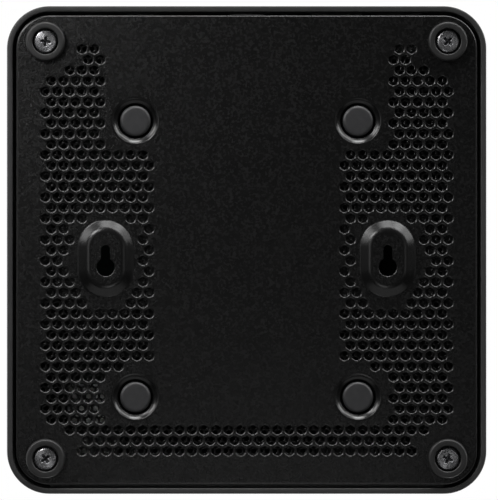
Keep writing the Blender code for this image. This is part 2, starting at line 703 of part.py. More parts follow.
def bottom_cover():
    """One pressed sheet: its outer skin, then the sheet's thickness added inwards."""
    bm = bmesh.new()
    radius = CORNER_RADIUS - WALL - GROOVE
    levels = [(COVER_EDGE, COVER_Z), (0, COVER_Z + COVER_EDGE), (0, COVER_Z + FLANGE_HEIGHT)]
    loops = []
    for away, z in levels:
        width, depth = COVER_WIDTH - 2 * away, COVER_DEPTH - 2 * away
        outline = rounded_rectangle(width, depth, radius - away, CORNER_STEPS)
        loops.append(loop_at(bm, outline, z))
    for below, above in zip(loops, loops[1:]):
        wall_between(bm, below, above)
    openings = [loop_at(bm, hole, COVER_Z) for hole in vents()]
    for corner, (a, b) in CORNERS.items():
        screw_hole = circle(SCREW_DIAMETER + 2 * SCREW_CLEARANCE, POST_STEPS, (a * FOOT_X, b * FOOT_Y))
        openings.append(loop_at(bm, screw_hole, COVER_Z))
        centre = dish_centre(corner)
        lip = loop_at(bm, circle(DISH_DIAMETER, ROUND_STEPS, centre), COVER_Z)
        floor = loop_at(bm, circle(DISH_FLOOR_DIAMETER, ROUND_STEPS, centre), DISH_Z)
        wall_between(bm, lip, floor)
        hole = circle(SCREW_DIAMETER + 2 * SCREW_CLEARANCE, POST_STEPS, centre)
        fill(bm, [floor, loop_at(bm, hole, DISH_Z)])
        openings.append(lip)
    for centre in boss_centres().values():
        window = stadium(BOSS_WIDTH + 2 * BOSS_PLAY, BOSS_LENGTH + 2 * BOSS_PLAY, centre)
        openings.append(loop_at(bm, window, COVER_Z))
    fill(bm, [loops[0]] + openings)
    cover = add_object("bottom_cover", bm, SHEET_FINISH)
    thicken(cover)


def thicken(sheet):
    """Gives an open skin the sheet's thickness on its upper side."""
    lowest = min(sheet.data.polygons, key=lambda face: face.center.z)
    modifier = sheet.modifiers.new("sheet thickness", 'SOLIDIFY')
    modifier.thickness = SHEET
    modifier.offset = -1 if lowest.normal.z < 0 else 1
    modifier.use_even_offset = True


def keyhole_plates():
    """Drawn plates whose lips lie behind the cover's windows, with a keyhole in each raised face."""
    for side, centre in boss_centres().items():
        bm = bmesh.new()
        lip_z = COVER_INSIDE_Z + GAP
        face_z = COVER_Z - BOSS_HEIGHT
        levels = [
            (BOSS_LIP, lip_z),
            (0, lip_z),
            (0, COVER_Z),
            (-BOSS_SLOPE, face_z),
        ]
        loops = []
        for out, z in levels:
            outline = stadium(BOSS_WIDTH + 2 * out, BOSS_LENGTH + 2 * out, centre)
            loops.append(loop_at(bm, outline, z))
        for outer, inner in zip(loops, loops[1:]):
            wall_between(bm, outer, inner)
        opening = [(centre[0] + x, centre[1] + y) for x, y in keyhole()]
        fill(bm, [loops[-1], loop_at(bm, opening, face_z)])
        thicken(add_object("keyhole_plate_" + side, bm, SHEET_FINISH))


def feet_and_screws():
    """A rubber ring at each corner, with the screw that holds the cover inside it."""
    seat_z = COVER_Z - GAP
    outer, inner, soft = FOOT_DIAMETER / 2, FOOT_BORE / 2, FOOT_ROUND
    ring = [(inner, seat_z), (inner, soft / 2), (inner + soft / 2, 0), (outer - soft, 0),
            (outer - soft * ARC_MIDDLE, soft * ARC_MIDDLE), (outer, soft), (outer, seat_z)]
    for corner, (a, b) in CORNERS.items():
        place = (a * FOOT_X, b * FOOT_Y, 0)
        turned("foot_" + corner, ring, FOOT_FINISH, location=place)
        cross_screw("cover_screw_" + corner, (a * FOOT_X, b * FOOT_Y, seat_z), SCREW_FINISH)


def cross_screw(name, seat, material):
    """A pan-head screw that points up from its seat, with a cross recess in its head."""
    bm = bmesh.new()
    head = SCREW_HEAD_DIAMETER
    face_z = -SCREW_HEAD_HEIGHT
    levels = [(head - 2 * SCREW_HEAD_ROUND, face_z), (head, face_z + SCREW_HEAD_ROUND),
              (head, 0), (SCREW_DIAMETER, 0), (SCREW_DIAMETER, SCREW_LENGTH - GAP)]
    loops = [loop_at(bm, circle(diameter, ROUND_STEPS), z) for diameter, z in levels]
    for below, above in zip(loops, loops[1:]):
        wall_between(bm, below, above)
    bm.faces.new(loops[-1])
    mouth = loop_at(bm, cross(CROSS_LENGTH, CROSS_WIDTH), face_z)
    floor = loop_at(bm, cross(CROSS_FLOOR_LENGTH, CROSS_WIDTH), face_z + CROSS_DEPTH)
    wall_between(bm, mouth, floor)
    fill(bm, [floor])
    fill(bm, [loops[0], mouth])
    add_object(name, bm, material, location=seat, smooth=True)


def drive_fixings():
    """In each dish, the screw that holds the drive and the rubber plug that covers its head."""
    head_seat = DISH_Z - GAP
    head_low = head_seat - DRIVE_SCREW_HEAD_HEIGHT
    shank, head = SCREW_DIAMETER / 2, DRIVE_SCREW_HEAD / 2
    screw = [(0, head_low), (head, head_low), (head, head_seat), (shank, head_seat),
             (shank, DRIVE_Z + DRIVE_SCREW_REACH), (0, DRIVE_Z + DRIVE_SCREW_REACH)]
    face_z = COVER_Z + PLUG_RECESS
    rim = PLUG_DIAMETER / 2
    bore = rim - PLUG_WALL
    plug = [(0, face_z), (rim - PLUG_ROUND, face_z), (rim, face_z + PLUG_ROUND), (rim, head_seat),
            (bore, head_seat), (bore, face_z + PLUG_SKIN), (0, face_z + PLUG_SKIN)]
    for corner in CORNERS:
        place = (*dish_centre(corner), 0)
        turned("drive_screw_" + corner, screw, SCREW_FINISH, steps=POST_STEPS, location=place)
        turned("drive_plug_" + corner, plug, PLUG_FINISH, location=place)


def drive():
    """Drive on the dishes, its plug end to the front, with a socket on an upright riser board."""
    middle_y = DRIVE_FRONT_Y + DRIVE_LENGTH / 2
    holes = []
    for corner in CORNERS:
        x, y = dish_centre(corner)
        hole = circle(SCREW_DIAMETER + 2 * SCREW_CLEARANCE, POST_STEPS, (x, middle_y - y))
        holes.append((hole, DRIVE_SCREW_REACH + 2 * GAP))
    body = rounded_rectangle(DRIVE_WIDTH, DRIVE_LENGTH, DRIVE_CORNER, 2)
    pocketed_block("drive", body, DRIVE_HEIGHT, holes, DRIVE_FINISH,
                   location=(0, middle_y, DRIVE_Z), rotation=(pi, 0, 0))
    socket = rectangle(DRIVE_SOCKET_WIDTH, DRIVE_SOCKET_DEPTH, (0, DRIVE_SOCKET_Y - DRIVE_SOCKET_DEPTH / 2))
    prism("drive_socket", socket, DRIVE_Z, DRIVE_Z + DRIVE_SOCKET_HEIGHT, BLACK_PLASTIC)
    riser = rectangle(RISER_WIDTH, RISER_THICKNESS, (0, RISER_Y - RISER_THICKNESS / 2))
    prism("drive_riser", riser, DRIVE_Z, BOARD_Z - GAP, BOARD_FINISH)


def motherboard():
    """Board with notched corners, screwed up to the case's posts, with a short post for each card."""
    half_x, half_y = BOARD_WIDTH / 2, BOARD_DEPTH / 2
    notch_x = FOOT_X - POST_DIAMETER / 2 - BOARD_NOTCH
    notch_y = FOOT_Y - POST_DIAMETER / 2 - BOARD_NOTCH
    quarter = [(half_x, notch_y), (notch_x, notch_y), (notch_x, half_y)]
    outline = quarter + [(-x, y) for x, y in reversed(quarter)]
    outline += [(-x, -y) for x, y in outline]
    posts = [(STORAGE_X, STORAGE_Y + STORAGE_LENGTH / 2 - CARD_POST_DIAMETER),
             (WIRELESS_X, WIRELESS_Y + WIRELESS_LENGTH / 2 - CARD_POST_DIAMETER)]
    bosses = []
    for x, y in posts:
        bosses.append((circle(CARD_POST_DIAMETER, POST_STEPS, (x, -y)), CARD_Z + GAP - BOARD_Z))
    holes = []
    screw = [(0, -BOARD_SCREW_HEAD_HEIGHT), (BOARD_SCREW_HEAD / 2, -BOARD_SCREW_HEAD_HEIGHT),
             (BOARD_SCREW_HEAD / 2, 0), (BOARD_SCREW_DIAMETER / 2, 0),
             (BOARD_SCREW_DIAMETER / 2, BOARD_SCREW_LENGTH), (0, BOARD_SCREW_LENGTH)]
    for corner, (a, b) in CORNERS.items():
        x, y = a * BOARD_POST_X, b * BOARD_POST_Y
        holes.append(circle(BOARD_SCREW_DIAMETER + 2 * SCREW_CLEARANCE, POST_STEPS, (x, -y)))
        place = (x, y, BOARD_Z - GAP)
        turned("board_screw_" + corner, screw, SCREW_FINISH, steps=POST_STEPS, location=place)
    pocketed_block("motherboard", outline, BOARD_THICKNESS, bosses, BOARD_FINISH, holes=holes,
                   location=(0, 0, BOARD_Z), rotation=(pi, 0, 0))


def tapered_mouth(width, height, taper):
    """A mouth that narrows towards its lower edge."""
    x, y = width / 2, height / 2
    return [(taper - x, -y), (x - taper, -y), (x, taper - y), (x, y), (-x, y), (-x, taper - y)]


def cut_corner_mouth(width, height, corner):
    """A mouth with one corner cut off."""
    x, y = width / 2, height / 2
    return [(-x, -y), (x - corner, -y), (x, corner - y), (x, y), (-x, y)]


def latched_mouth():
    """A plug's opening with a narrower slot for its latch below."""
    x, latch = LAN_MOUTH_WIDTH / 2, LAN_LATCH_WIDTH / 2
    low = -(LAN_MOUTH_HEIGHT + LAN_LATCH_HEIGHT) / 2
    step = low + LAN_LATCH_HEIGHT
    high = -low
    right = [(latch, low), (latch, step), (x, step), (x, high)]
    return right + [(-a, b) for a, b in reversed(right)]


def usb_mouth(centre_y=0.0):
    """A rectangular opening with the tongue in its upper half."""
    mouth = rectangle(USB_MOUTH_WIDTH, USB_MOUTH_HEIGHT, (0, centre_y))
    tongue_y = centre_y + USB_MOUTH_HEIGHT / 2 - USB_TONGUE_HEIGHT
    tongue = rectangle(USB_TONGUE_WIDTH, USB_TONGUE_HEIGHT, (0, tongue_y))
    return (mouth, MOUTH_DEPTH, tongue, MOUTH_DEPTH - TONGUE_SHORT_OF_MOUTH)


def flat_tongue_mouth(mouth, width, height):
    """An opening with a thin tongue across its middle."""
    return (mouth, MOUTH_DEPTH, rectangle(width, height), MOUTH_DEPTH - TONGUE_SHORT_OF_MOUTH)


def sockets():
    """The sockets that hang from the board's edges, each with its mouth in a side of the case."""
    hdmi = tapered_mouth(HDMI_MOUTH_WIDTH, HDMI_MOUTH_HEIGHT, HDMI_TAPER)
    display = cut_corner_mouth(DISPLAY_MOUTH_WIDTH, DISPLAY_MOUTH_HEIGHT, DISPLAY_CORNER)
    usb_c = rounded_rectangle(USB_C_MOUTH_WIDTH, USB_C_MOUTH_HEIGHT, USB_C_MOUTH_HEIGHT / 2 - GAP, 3)
    dc_mouth = (circle(DC_MOUTH, ROUND_STEPS), MOUTH_DEPTH, circle(DC_PIN, POST_STEPS), MOUTH_DEPTH)
    hdmi_mouth = flat_tongue_mouth(hdmi, HDMI_TONGUE_WIDTH, FLAT_TONGUE)
    display_mouth = flat_tongue_mouth(display, DISPLAY_TONGUE_WIDTH, FLAT_TONGUE)
    usb_c_mouth = flat_tongue_mouth(usb_c, USB_C_TONGUE_WIDTH, USB_C_TONGUE_HEIGHT)
    stack = [usb_mouth(-USB_STACK_PITCH / 2), usb_mouth(USB_STACK_PITCH / 2)]
    rear = {
        "dc_jack": (DC_JACK, [dc_mouth], BLACK_PLASTIC),
        "lan_port": (LAN_PORT, [(latched_mouth(), LAN_MOUTH_DEPTH)], SHIELD_FINISH),
        "hdmi_port": (HDMI_PORT, [hdmi_mouth], SHIELD_FINISH),
        "display_port": (DISPLAY_PORT, [display_mouth], SHIELD_FINISH),
        "rear_usb_stack": (REAR_USB, stack, SHIELD_FINISH),
    }
    front = {
        "front_usb_left": (FRONT_USB_LEFT, [usb_mouth()], SHIELD_FINISH),
        "front_usb_right": (FRONT_USB_RIGHT, [usb_mouth()], SHIELD_FINISH),
        "front_usb_c": (FRONT_USB_C, [usb_c_mouth], SHIELD_FINISH),
        "audio_jack": (AUDIO_JACK, [(circle(AUDIO_MOUTH, POST_STEPS), MOUTH_DEPTH)], BLACK_PLASTIC),
    }
    for group, y, turn in ((rear, REAR_SOCKET_Y, pi), (front, FRONT_SOCKET_Y, 0)):
        for name, (socket, mouths, material) in group.items():
            place = (socket.x, y, BOARD_Z - GAP - socket.height / 2)
            pocketed_block(name, rectangle(socket.width, socket.height), socket.depth, mouths, material,
                           location=place, rotation=(pi / 2, 0, turn))


def rear_plate():
    """Thin plate behind the rear window, with an opening round each socket."""
    middle_z = (REAR_WINDOW_LOW + REAR_WINDOW_HIGH) / 2
    height = REAR_WINDOW_HIGH - REAR_WINDOW_LOW + 2 * REAR_PLATE_OVERLAP
    outline = rectangle(2 * (REAR_WINDOW_HALF_WIDTH + REAR_PLATE_OVERLAP), height)
    holes = []
    for socket in (DC_JACK, LAN_PORT, HDMI_PORT, DISPLAY_PORT, REAR_USB):
        centre = (-socket.x, BOARD_Z - GAP - socket.height / 2 - middle_z)
        holes.append(rectangle(socket.width + 2 * SOCKET_PLAY, socket.height + 2 * SOCKET_PLAY, centre))
    prism("rear_plate", outline, -REAR_PLATE_THICKNESS, 0, SHIELD_FINISH, holes=holes,
          location=(0, INSIDE_DEPTH / 2 - GAP, middle_z), rotation=(pi / 2, 0, pi))


def cooling():
    """Processor, heat pipe, fins behind the exhaust slots and the blower that feeds them."""
    chip = rectangle(PROCESSOR_WIDTH, PROCESSOR_DEPTH, (PROCESSOR_X, BLOWER_Y))
    prism("processor", chip, BOARD_TOP_Z + GAP, PROCESSOR_TOP_Z, CHIP_FINISH)
    pad_x, pad_y = PROCESSOR_WIDTH / 2, PROCESSOR_DEPTH / 2
    half = PIPE_WIDTH / 2
    run_y = FIN_REAR_Y - FIN_DEPTH / 2
    pad_end = BLOWER_Y + pad_y
    end_x = COOLING_CENTRE_X + BLOWER_WIDTH / 2
    left, right, pad_start = PROCESSOR_X - pad_x, PROCESSOR_X + pad_x, BLOWER_Y - pad_y
    x = right - PIPE_INSET - half
    pipe = [(left, pad_start), (right, pad_start), (right, pad_end), (x + half, pad_end),
            (x + half, run_y - half), (end_x, run_y - half), (end_x, run_y + half), (x - half, run_y + half),
            (x - half, pad_end), (left, pad_end)]
    prism("heat_pipe", pipe, PIPE_Z, PIPE_Z + PIPE_HEIGHT, COPPER_FINISH)

    fin_left = COOLING_CENTRE_X - BLOWER_WIDTH / 2
    fin_space = (BLOWER_WIDTH - FIN_THICKNESS) / (FIN_COUNT - 1)
    comb = [(fin_left, FIN_Z), (end_x, FIN_Z)]
    for i in reversed(range(FIN_COUNT)):
        left = fin_left + i * fin_space
        right = left + FIN_THICKNESS
        foot_z = FIN_Z + FIN_BASE
        fin = [(right, foot_z), (right, FIN_TOP_Z), (left, FIN_TOP_Z), (left, foot_z)]
        comb += fin[1:] if i == FIN_COUNT - 1 else fin[:3] if i == 0 else fin
    prism("heat_sink", comb, -FIN_REAR_Y, FIN_DEPTH - FIN_REAR_Y, ALUMINIUM_FINISH, rotation=(pi / 2, 0, 0))
    blower()


def blower():
    """Open scroll housing, its lid with the inlet, the axle and the bladed rotor that turns on it."""
    centre = (COOLING_CENTRE_X, BLOWER_Y)
    square = rectangle(BLOWER_WIDTH, BLOWER_WIDTH, centre)
    lid_z = FIN_TOP_Z - BLOWER_WALL
    housing = prism("blower_housing", square, BLOWER_Z, lid_z - GAP, BLACK_PLASTIC)
    radius = BLOWER_WIDTH / 2 - BLOWER_WALL
    scroll = []
    for i in range(13):
        angle = pi + pi * i / 12
        scroll.append((centre[0] + radius * cos(angle), centre[1] + radius * sin(angle)))
    outlet_y = BLOWER_REAR_Y + BLOWER_WALL
    scroll += [(centre[0] + radius, outlet_y), (centre[0] - radius, outlet_y)]
    floor_z = BLOWER_Z + BLOWER_WALL
    cut(housing, "blower_scroll", [(scroll, floor_z, FIN_TOP_Z, Matrix.Identity(3))])
    inlet = circle(BLOWER_INLET, ROUND_STEPS, centre)
    prism("blower_lid", square, lid_z, FIN_TOP_Z, BLACK_PLASTIC, holes=[inlet])

    low, high, radius = floor_z + GAP, lid_z - GAP, AXLE_DIAMETER / 2
    axle = [(0, low), (radius, low), (radius, high), (0, high)]
    turned("blower_axle", axle, SCREW_FINISH, steps=POST_STEPS, location=(*centre, 0))
    outline = []
    hub, tip = ROTOR_HUB / 2, ROTOR_DIAMETER / 2
    for i in range(ROTOR_BLADES):
        root = 2 * pi * i / ROTOR_BLADES
        root_half = ROTOR_BLADE_THICKNESS / 2 / hub
        tip_half = ROTOR_BLADE_THICKNESS / 2 / tip
        corners = [(hub, root - root_half), (tip, root + ROTOR_SWEEP - tip_half),
                   (tip, root + ROTOR_SWEEP + tip_half), (hub, root + root_half)]
        outline += [(r * cos(a), r * sin(a)) for r, a in corners]
    bore = circle(AXLE_DIAMETER + 2 * AXLE_PLAY, POST_STEPS)
    low = floor_z + ROTOR_END_PLAY
    prism("blower_rotor", outline, 0, lid_z - ROTOR_END_PLAY - low, BLACK_PLASTIC, holes=[bore],
          location=(*centre, low))


def memory():
    """Two memory cards, one over the other under the board, each edge in its own socket."""
    slot_middle = MEMORY_SOCKET_HEIGHT / 2
    front = FRONT_SOCKET_Y + FRONT_USB_DEPTH + MEMORY_ROW_GAP
    for i, side in enumerate(("front", "rear")):
        height = MEMORY_SOCKET_HEIGHT + MEMORY_STACK_STEP * i
        near = front + (MEMORY_SOCKET_DEPTH + MEMORY_ROW_GAP) * i
        middle_z = BOARD_Z - GAP - height + slot_middle
        block = rectangle(MEMORY_SOCKET_WIDTH, height, (0, height / 2 - slot_middle))
        slot = rectangle(MEMORY_WIDTH + 2 * GAP, MEMORY_THICKNESS + 2 * GAP)
        place = (MEMORY_X, near + MEMORY_DEPTH - EDGE_IN_SOCKET, middle_z)
        pocketed_block("memory_socket_" + side, block, MEMORY_SOCKET_DEPTH,
                       [(slot, EDGE_IN_SOCKET + GAP)], BLACK_PLASTIC,
                       location=place, rotation=(pi / 2, 0, 0))
        chips = []
        for x in row(MEMORY_CHIP_COUNT, MEMORY_WIDTH / MEMORY_CHIP_COUNT):
            chip = rectangle(MEMORY_CHIP_WIDTH, MEMORY_CHIP_DEPTH, (x, EDGE_IN_SOCKET))
            chips.append((chip, -MEMORY_CHIP_HEIGHT))
        card = rectangle(MEMORY_WIDTH, MEMORY_DEPTH)
        place = (MEMORY_X, near + MEMORY_DEPTH / 2, middle_z - MEMORY_THICKNESS / 2)
        pocketed_block("memory_card_" + side, card, MEMORY_THICKNESS, chips, BOARD_FINISH,
                       location=place, rotation=(pi, 0, 0))


def edge_card(name, x, y, length, chips):
    """A narrow card under the board: its front edge in a socket, its rear end on a short post."""
    socket_end = y - length / 2 + EDGE_IN_SOCKET
    slot = rectangle(CARD_WIDTH + 2 * GAP, CARD_THICKNESS + 2 * GAP, (0, -CARD_THICKNESS / 2))
    block = rectangle(CARD_WIDTH + 2 * (GAP + CARD_SOCKET_ENDS), CARD_SOCKET_HEIGHT)
    pocketed_block(name + "_socket", block, CARD_SOCKET_DEPTH, [(slot, EDGE_IN_SOCKET + GAP)], BLACK_PLASTIC,
                   location=(x, socket_end, CARD_Z), rotation=(pi / 2, 0, pi))
    pocketed_block(name + "_card", rectangle(CARD_WIDTH, length), CARD_THICKNESS, chips, BOARD_FINISH,
                   location=(x, y, CARD_Z - CARD_THICKNESS), rotation=(pi, 0, 0))


def cards():
    """Storage card, wireless card with its shield, backup cell and the two aerials under the top."""
    storage_chips = []
    for y in row(STORAGE_CHIP_COUNT, STORAGE_LENGTH / (STORAGE_CHIP_COUNT + 1)):
        chip = rectangle(STORAGE_CHIP_WIDTH, STORAGE_CHIP_DEPTH, (0, y))
        storage_chips.append((chip, -CARD_CHIP_HEIGHT))
    edge_card("storage", STORAGE_X, STORAGE_Y, STORAGE_LENGTH, storage_chips)
    shield_y = 2 * CARD_POST_DIAMETER + WIRELESS_SHIELD / 2 - WIRELESS_LENGTH / 2
    shield = rectangle(WIRELESS_SHIELD, WIRELESS_SHIELD, (0, shield_y))
    edge_card("wireless", WIRELESS_X, WIRELESS_Y, WIRELESS_LENGTH, [(shield, -CARD_CHIP_HEIGHT)])
    cell_y = REAR_SOCKET_Y - LAN_DEPTH - COIN_CELL_FROM_LAN - COIN_CELL_DIAMETER / 2
    cell = circle(COIN_CELL_DIAMETER, ROUND_STEPS, (COIN_CELL_X, cell_y))
    prism("coin_cell", cell, BOARD_Z - GAP - COIN_CELL_HEIGHT, BOARD_Z - GAP, SHIELD_FINISH)
    aerial_y = -INSIDE_DEPTH / 2 + ANTENNA_FROM_WALL + ANTENNA_WIDTH / 2
    for side, name in ((-1, "antenna_left"), (1, "antenna_right")):
        strip = rectangle(ANTENNA_LENGTH, ANTENNA_WIDTH, (side * ANTENNA_X, aerial_y))
        prism(name, strip, CEILING_Z - GAP - ANTENNA_THICKNESS, CEILING_Z - GAP, BOARD_FINISH)


def power_button():
    """Round cap held behind the front wall by its collar, the switch that it presses and the light."""
    forward = (pi / 2, 0, 0)
    front = (0, -CASE_DEPTH / 2, BUTTON_Z)
    radius = BUTTON_DIAMETER / 2
    collar = -WALL - GAP
    back = collar - BUTTON_COLLAR_THICKNESS
    wide = radius + BUTTON_COLLAR_WIDTH
    face = -BUTTON_RECESS
    cap = [(0, face), (radius - BUTTON_ROUND, face), (radius, face - BUTTON_ROUND),
           (radius, collar), (wide, collar), (wide, back), (0, back)]
    turned("power_button", cap, BUTTON_FINISH, location=front, rotation=forward)
    plunger = (circle(PLUNGER_DIAMETER, POST_STEPS), -PLUNGER_LENGTH)
    switch_y = front[1] - back + BUTTON_TRAVEL + GAP + PLUNGER_LENGTH
    block = rectangle(SWITCH_WIDTH, SWITCH_WIDTH)
    pocketed_block("power_switch", block, SWITCH_DEPTH, [plunger], BLACK_PLASTIC,
                   location=(0, switch_y, BUTTON_Z), rotation=forward)
    prism("status_light", circle(LIGHT_DIAMETER, POST_STEPS), face - LIGHT_LENGTH, face, LIGHT_FINISH,
          location=(LIGHT_X, front[1], LIGHT_Z), rotation=forward)


for old in list(bpy.data.objects):
    bpy.data.objects.remove(old, do_unlink=True)

CASE_FINISH = finish("black moulded case", (0.022, 0.022, 0.024), 0.5)
SHEET_FINISH = finish("black textured sheet", (0.012, 0.012, 0.013), 0.55)
FOOT_FINISH = finish("black rubber", (0.014, 0.014, 0.015), 0.7)
PLUG_FINISH = finish("grey rubber", (0.032, 0.033, 0.036), 0.65)
SCREW_FINISH = finish("plated steel", (0.35, 0.36, 0.38), 0.35, 1.0)
SHIELD_FINISH = finish("bright plated shell", (0.62, 0.62, 0.62), 0.3, 1.0)
DRIVE_FINISH = finish("drive case", (0.30, 0.31, 0.32), 0.4, 1.0)
BOARD_FINISH = finish("circuit board", (0.010, 0.045, 0.030), 0.5)
CHIP_FINISH = finish("chip package", (0.030, 0.050, 0.035), 0.4)
COPPER_FINISH = finish("copper", (0.75, 0.33, 0.20), 0.35, 1.0)
ALUMINIUM_FINISH = finish("aluminium fins", (0.65, 0.66, 0.67), 0.4, 1.0)
BLACK_PLASTIC = finish("black plastic", (0.015, 0.015, 0.016), 0.5)
BUTTON_FINISH = finish("button cap", (0.030, 0.030, 0.033), 0.4)
LIGHT_FINISH = finish("clear light pipe", (0.75, 0.80, 0.85), 0.2)

case_shell()
bottom_cover()
keyhole_plates()
feet_and_screws()
drive_fixings()
drive()
motherboard()
sockets()
rear_plate()
cooling()
memory()
cards()
power_button()
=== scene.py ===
"""Looks of a small square desktop computer, pictured from straight below.

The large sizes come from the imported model's own boxes, and the pieces follow the order in which the
computer goes together.
"""

import bmesh
import bpy
import numpy as np
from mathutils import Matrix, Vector
from mathutils.geometry import delaunay_2d_cdt


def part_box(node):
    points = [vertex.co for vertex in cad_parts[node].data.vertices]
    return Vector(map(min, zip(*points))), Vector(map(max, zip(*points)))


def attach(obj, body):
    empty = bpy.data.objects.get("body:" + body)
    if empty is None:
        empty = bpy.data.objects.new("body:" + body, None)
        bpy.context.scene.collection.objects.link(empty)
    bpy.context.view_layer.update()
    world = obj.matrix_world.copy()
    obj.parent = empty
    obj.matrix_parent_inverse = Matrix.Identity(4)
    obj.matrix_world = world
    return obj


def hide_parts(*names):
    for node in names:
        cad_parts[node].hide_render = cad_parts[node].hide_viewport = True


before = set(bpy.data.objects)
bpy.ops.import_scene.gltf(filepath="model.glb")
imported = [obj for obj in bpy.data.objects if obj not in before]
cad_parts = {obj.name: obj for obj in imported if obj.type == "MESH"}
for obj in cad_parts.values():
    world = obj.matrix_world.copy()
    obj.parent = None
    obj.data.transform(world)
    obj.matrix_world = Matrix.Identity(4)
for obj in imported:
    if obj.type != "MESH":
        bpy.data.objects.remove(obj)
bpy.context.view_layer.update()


# The case is one moulding of black plastic with a fine spark-eroded grain, open below. Every opening
# in its walls has a softened edge, and its top rounds over into the walls.
SAME_POINT = 1e-8
CUT_ACCURACY = 1e-9
WELD_DISTANCE = 2e-6


def box_of(node):
    """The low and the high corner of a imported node's box."""
    return np.array([tuple(corner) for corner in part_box(node)])


def in_scene(name, data):
    """A new object in the scene."""
    thing = bpy.data.objects.new(name, data)
    bpy.context.scene.collection.objects.link(thing)
    return thing


def rounded_outline(half_x, half_y, radius, steps):
    """A rectangle with round corners: corner centre + radius * (cos a, sin a), a quarter turn each."""
    turn = np.arange(4)[:, None] * np.pi / 2 + np.linspace(0, np.pi / 2, steps + 1)
    corner = np.array([(1, 1), (-1, 1), (-1, -1), (1, -1)])[:, None] * (half_x - radius, half_y - radius)
    return (corner + radius * np.stack((np.cos(turn), np.sin(turn)), -1)).reshape(-1, 2)


def quarter_round(start, end, steps, bulge_at_start, *then):
    """A quarter ellipse from start to end and then further points. It leaves along the first axis if
    bulge_at_start, and along the second if not."""
    angle = np.linspace(0, np.pi / 2, steps + 1)[:, None]
    share = (np.sin(angle), 1 - np.cos(angle)) if bulge_at_start else (1 - np.cos(angle), np.sin(angle))
    return np.vstack((np.array(start) + (np.array(end) - start) * np.hstack(share), *then))


def at_level(points, z):
    """Plane points with one height added."""
    return np.concatenate((points, np.full(points.shape[:-1] + (1,), z)), -1)


def rounded_loops(middle, half, radius, profile, steps):
    """A rounded rectangle carried along a profile of (growth, height) points."""
    return np.stack([at_level(rounded_outline(half[0] + out, half[1] + out, radius + out, steps) + middle, z)
                     for out, z in profile])


def loft(loops, smooth=True):
    """Quads between neighbouring closed loops; loops is an array [loop, point, xyz]."""
    levels, count = loops.shape[:2]
    a = (np.arange(levels - 1)[:, None] * count + np.arange(count)).ravel()
    b = (np.arange(levels - 1)[:, None] * count + (np.arange(count) + 1) % count).ravel()
    return loops.reshape(-1, 3), np.stack((a, b, b + count, a + count), -1), smooth


def strips(rows, smooth=True):
    """Quads of open surface patches; rows is an array [patch, row, point, xyz]."""
    patches, levels, count = rows.shape[:3]
    index = np.arange(patches * levels * count).reshape(patches, levels, count)
    a, b, c, d = index[:, :-1, :-1], index[:, :-1, 1:], index[:, 1:, 1:], index[:, 1:, :-1]
    return rows.reshape(-1, 3), np.stack((a, b, c, d), -1).reshape(-1, 4), smooth


def flat_area(loops, z):
    """A flat area at one height, cut into triangles: the first loop is its edge and the others are holes.

    All loops run anticlockwise. A triangle lies in a hole if its corners follow that hole's own order.
    """
    loops = [loop[:, :2] for loop in loops]
    loops = [loop[np.abs(loop - np.roll(loop, 1, 0)).max(1) > SAME_POINT] for loop in loops]
    sizes = np.array([len(loop) for loop in loops])
    starts = np.repeat(np.cumsum(sizes) - sizes, sizes)
    here = np.arange(sizes.sum()) - starts
    edges = np.stack((starts + here, starts + (here + 1) % np.repeat(sizes, sizes)), -1)
    cut = delaunay_2d_cdt(np.concatenate(loops).tolist(), edges.tolist(), [], 0, CUT_ACCURACY)
    points, triangles = np.array(cut[0]), np.array(cut[2])
    owner = np.repeat(np.arange(len(loops)), sizes)[triangles]
    i, j, k = triangles.T
    in_hole = (owner.min(1) == owner.max(1)) & (owner[:, 0] > 0) & ((j - i) * (k - j) * (i - k) < 0)
    return at_level(points, z), triangles[~in_hole], False


def make_piece(name, surface, patches, replaced=(), body="case"):
    """One welded mesh from patches of points, faces and smoothness, riding on its body. The attribute level
    is 1 on flat faces and 0 on turned or rolled ones."""
    points, faces, smooth = [], [], []
    for patch_points, patch_faces, patch_smooth in patches:
        faces += (patch_faces + len(points)).tolist()
        points += patch_points.tolist()
        smooth += [patch_smooth] * len(patch_faces)
    mesh = bpy.data.meshes.new(name)
    mesh.from_pydata(points, [], faces)
    mesh.polygons.foreach_set("use_smooth", smooth)
    level = mesh.attributes.new("level", 'FLOAT', 'FACE')
    level.data.foreach_set("value", 1.0 - np.array(smooth))
    bm = bmesh.new()
    bm.from_mesh(mesh)
    bmesh.ops.remove_doubles(bm, verts=bm.verts, dist=WELD_DISTANCE)
    bmesh.ops.recalc_face_normals(bm, faces=bm.faces)
    bm.to_mesh(mesh)
    bm.free()
    mesh.materials.append(surface.material)
    piece = in_scene(name, mesh)
    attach(piece, body)
    if replaced:
        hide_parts(*replaced)


case_low, case_high = box_of("case_shell")
case_half = (case_high[:2] - case_low[:2]) / 2
CASE_CORNER = 0.0118
CASE_WALL = 0.0016
CASE_TOP_WALL = 0.0020
CASE_TOP_ROUND = 0.0030
CASE_RIM_ROUND = 0.0004
CASE_RIM_INSIDE = 0.0003
CASE_LIP = 0.00025
CORNER_STEPS = 20
INWARD = -1, 1


def case_loops(profile):
    """The case's outline carried along a profile of (distance in, height) points."""
    return rounded_loops((0, 0), case_half, CASE_CORNER, np.array(profile) * INWARD, CORNER_STEPS)


def corners_only(loops):
    """The four round corners of lofted loops as patches [corner, level, point, xyz]."""
    return loops.reshape(len(loops), 4, -1, 3).transpose(1, 0, 2, 3)


# Each wall's own axes: along it, up, and into the case.
UP = (0, 0, 1)
WALL_AXES = {
    "front": np.array([(1, 0, 0), UP, (0, 1, 0)]),
    "rear": np.array([(-1, 0, 0), UP, (0, -1, 0)]),
    "left": np.array([(0, -1, 0), UP, (1, 0, 0)]),
    "right": np.array([(0, 1, 0), UP, (-1, 0, 0)]),
}


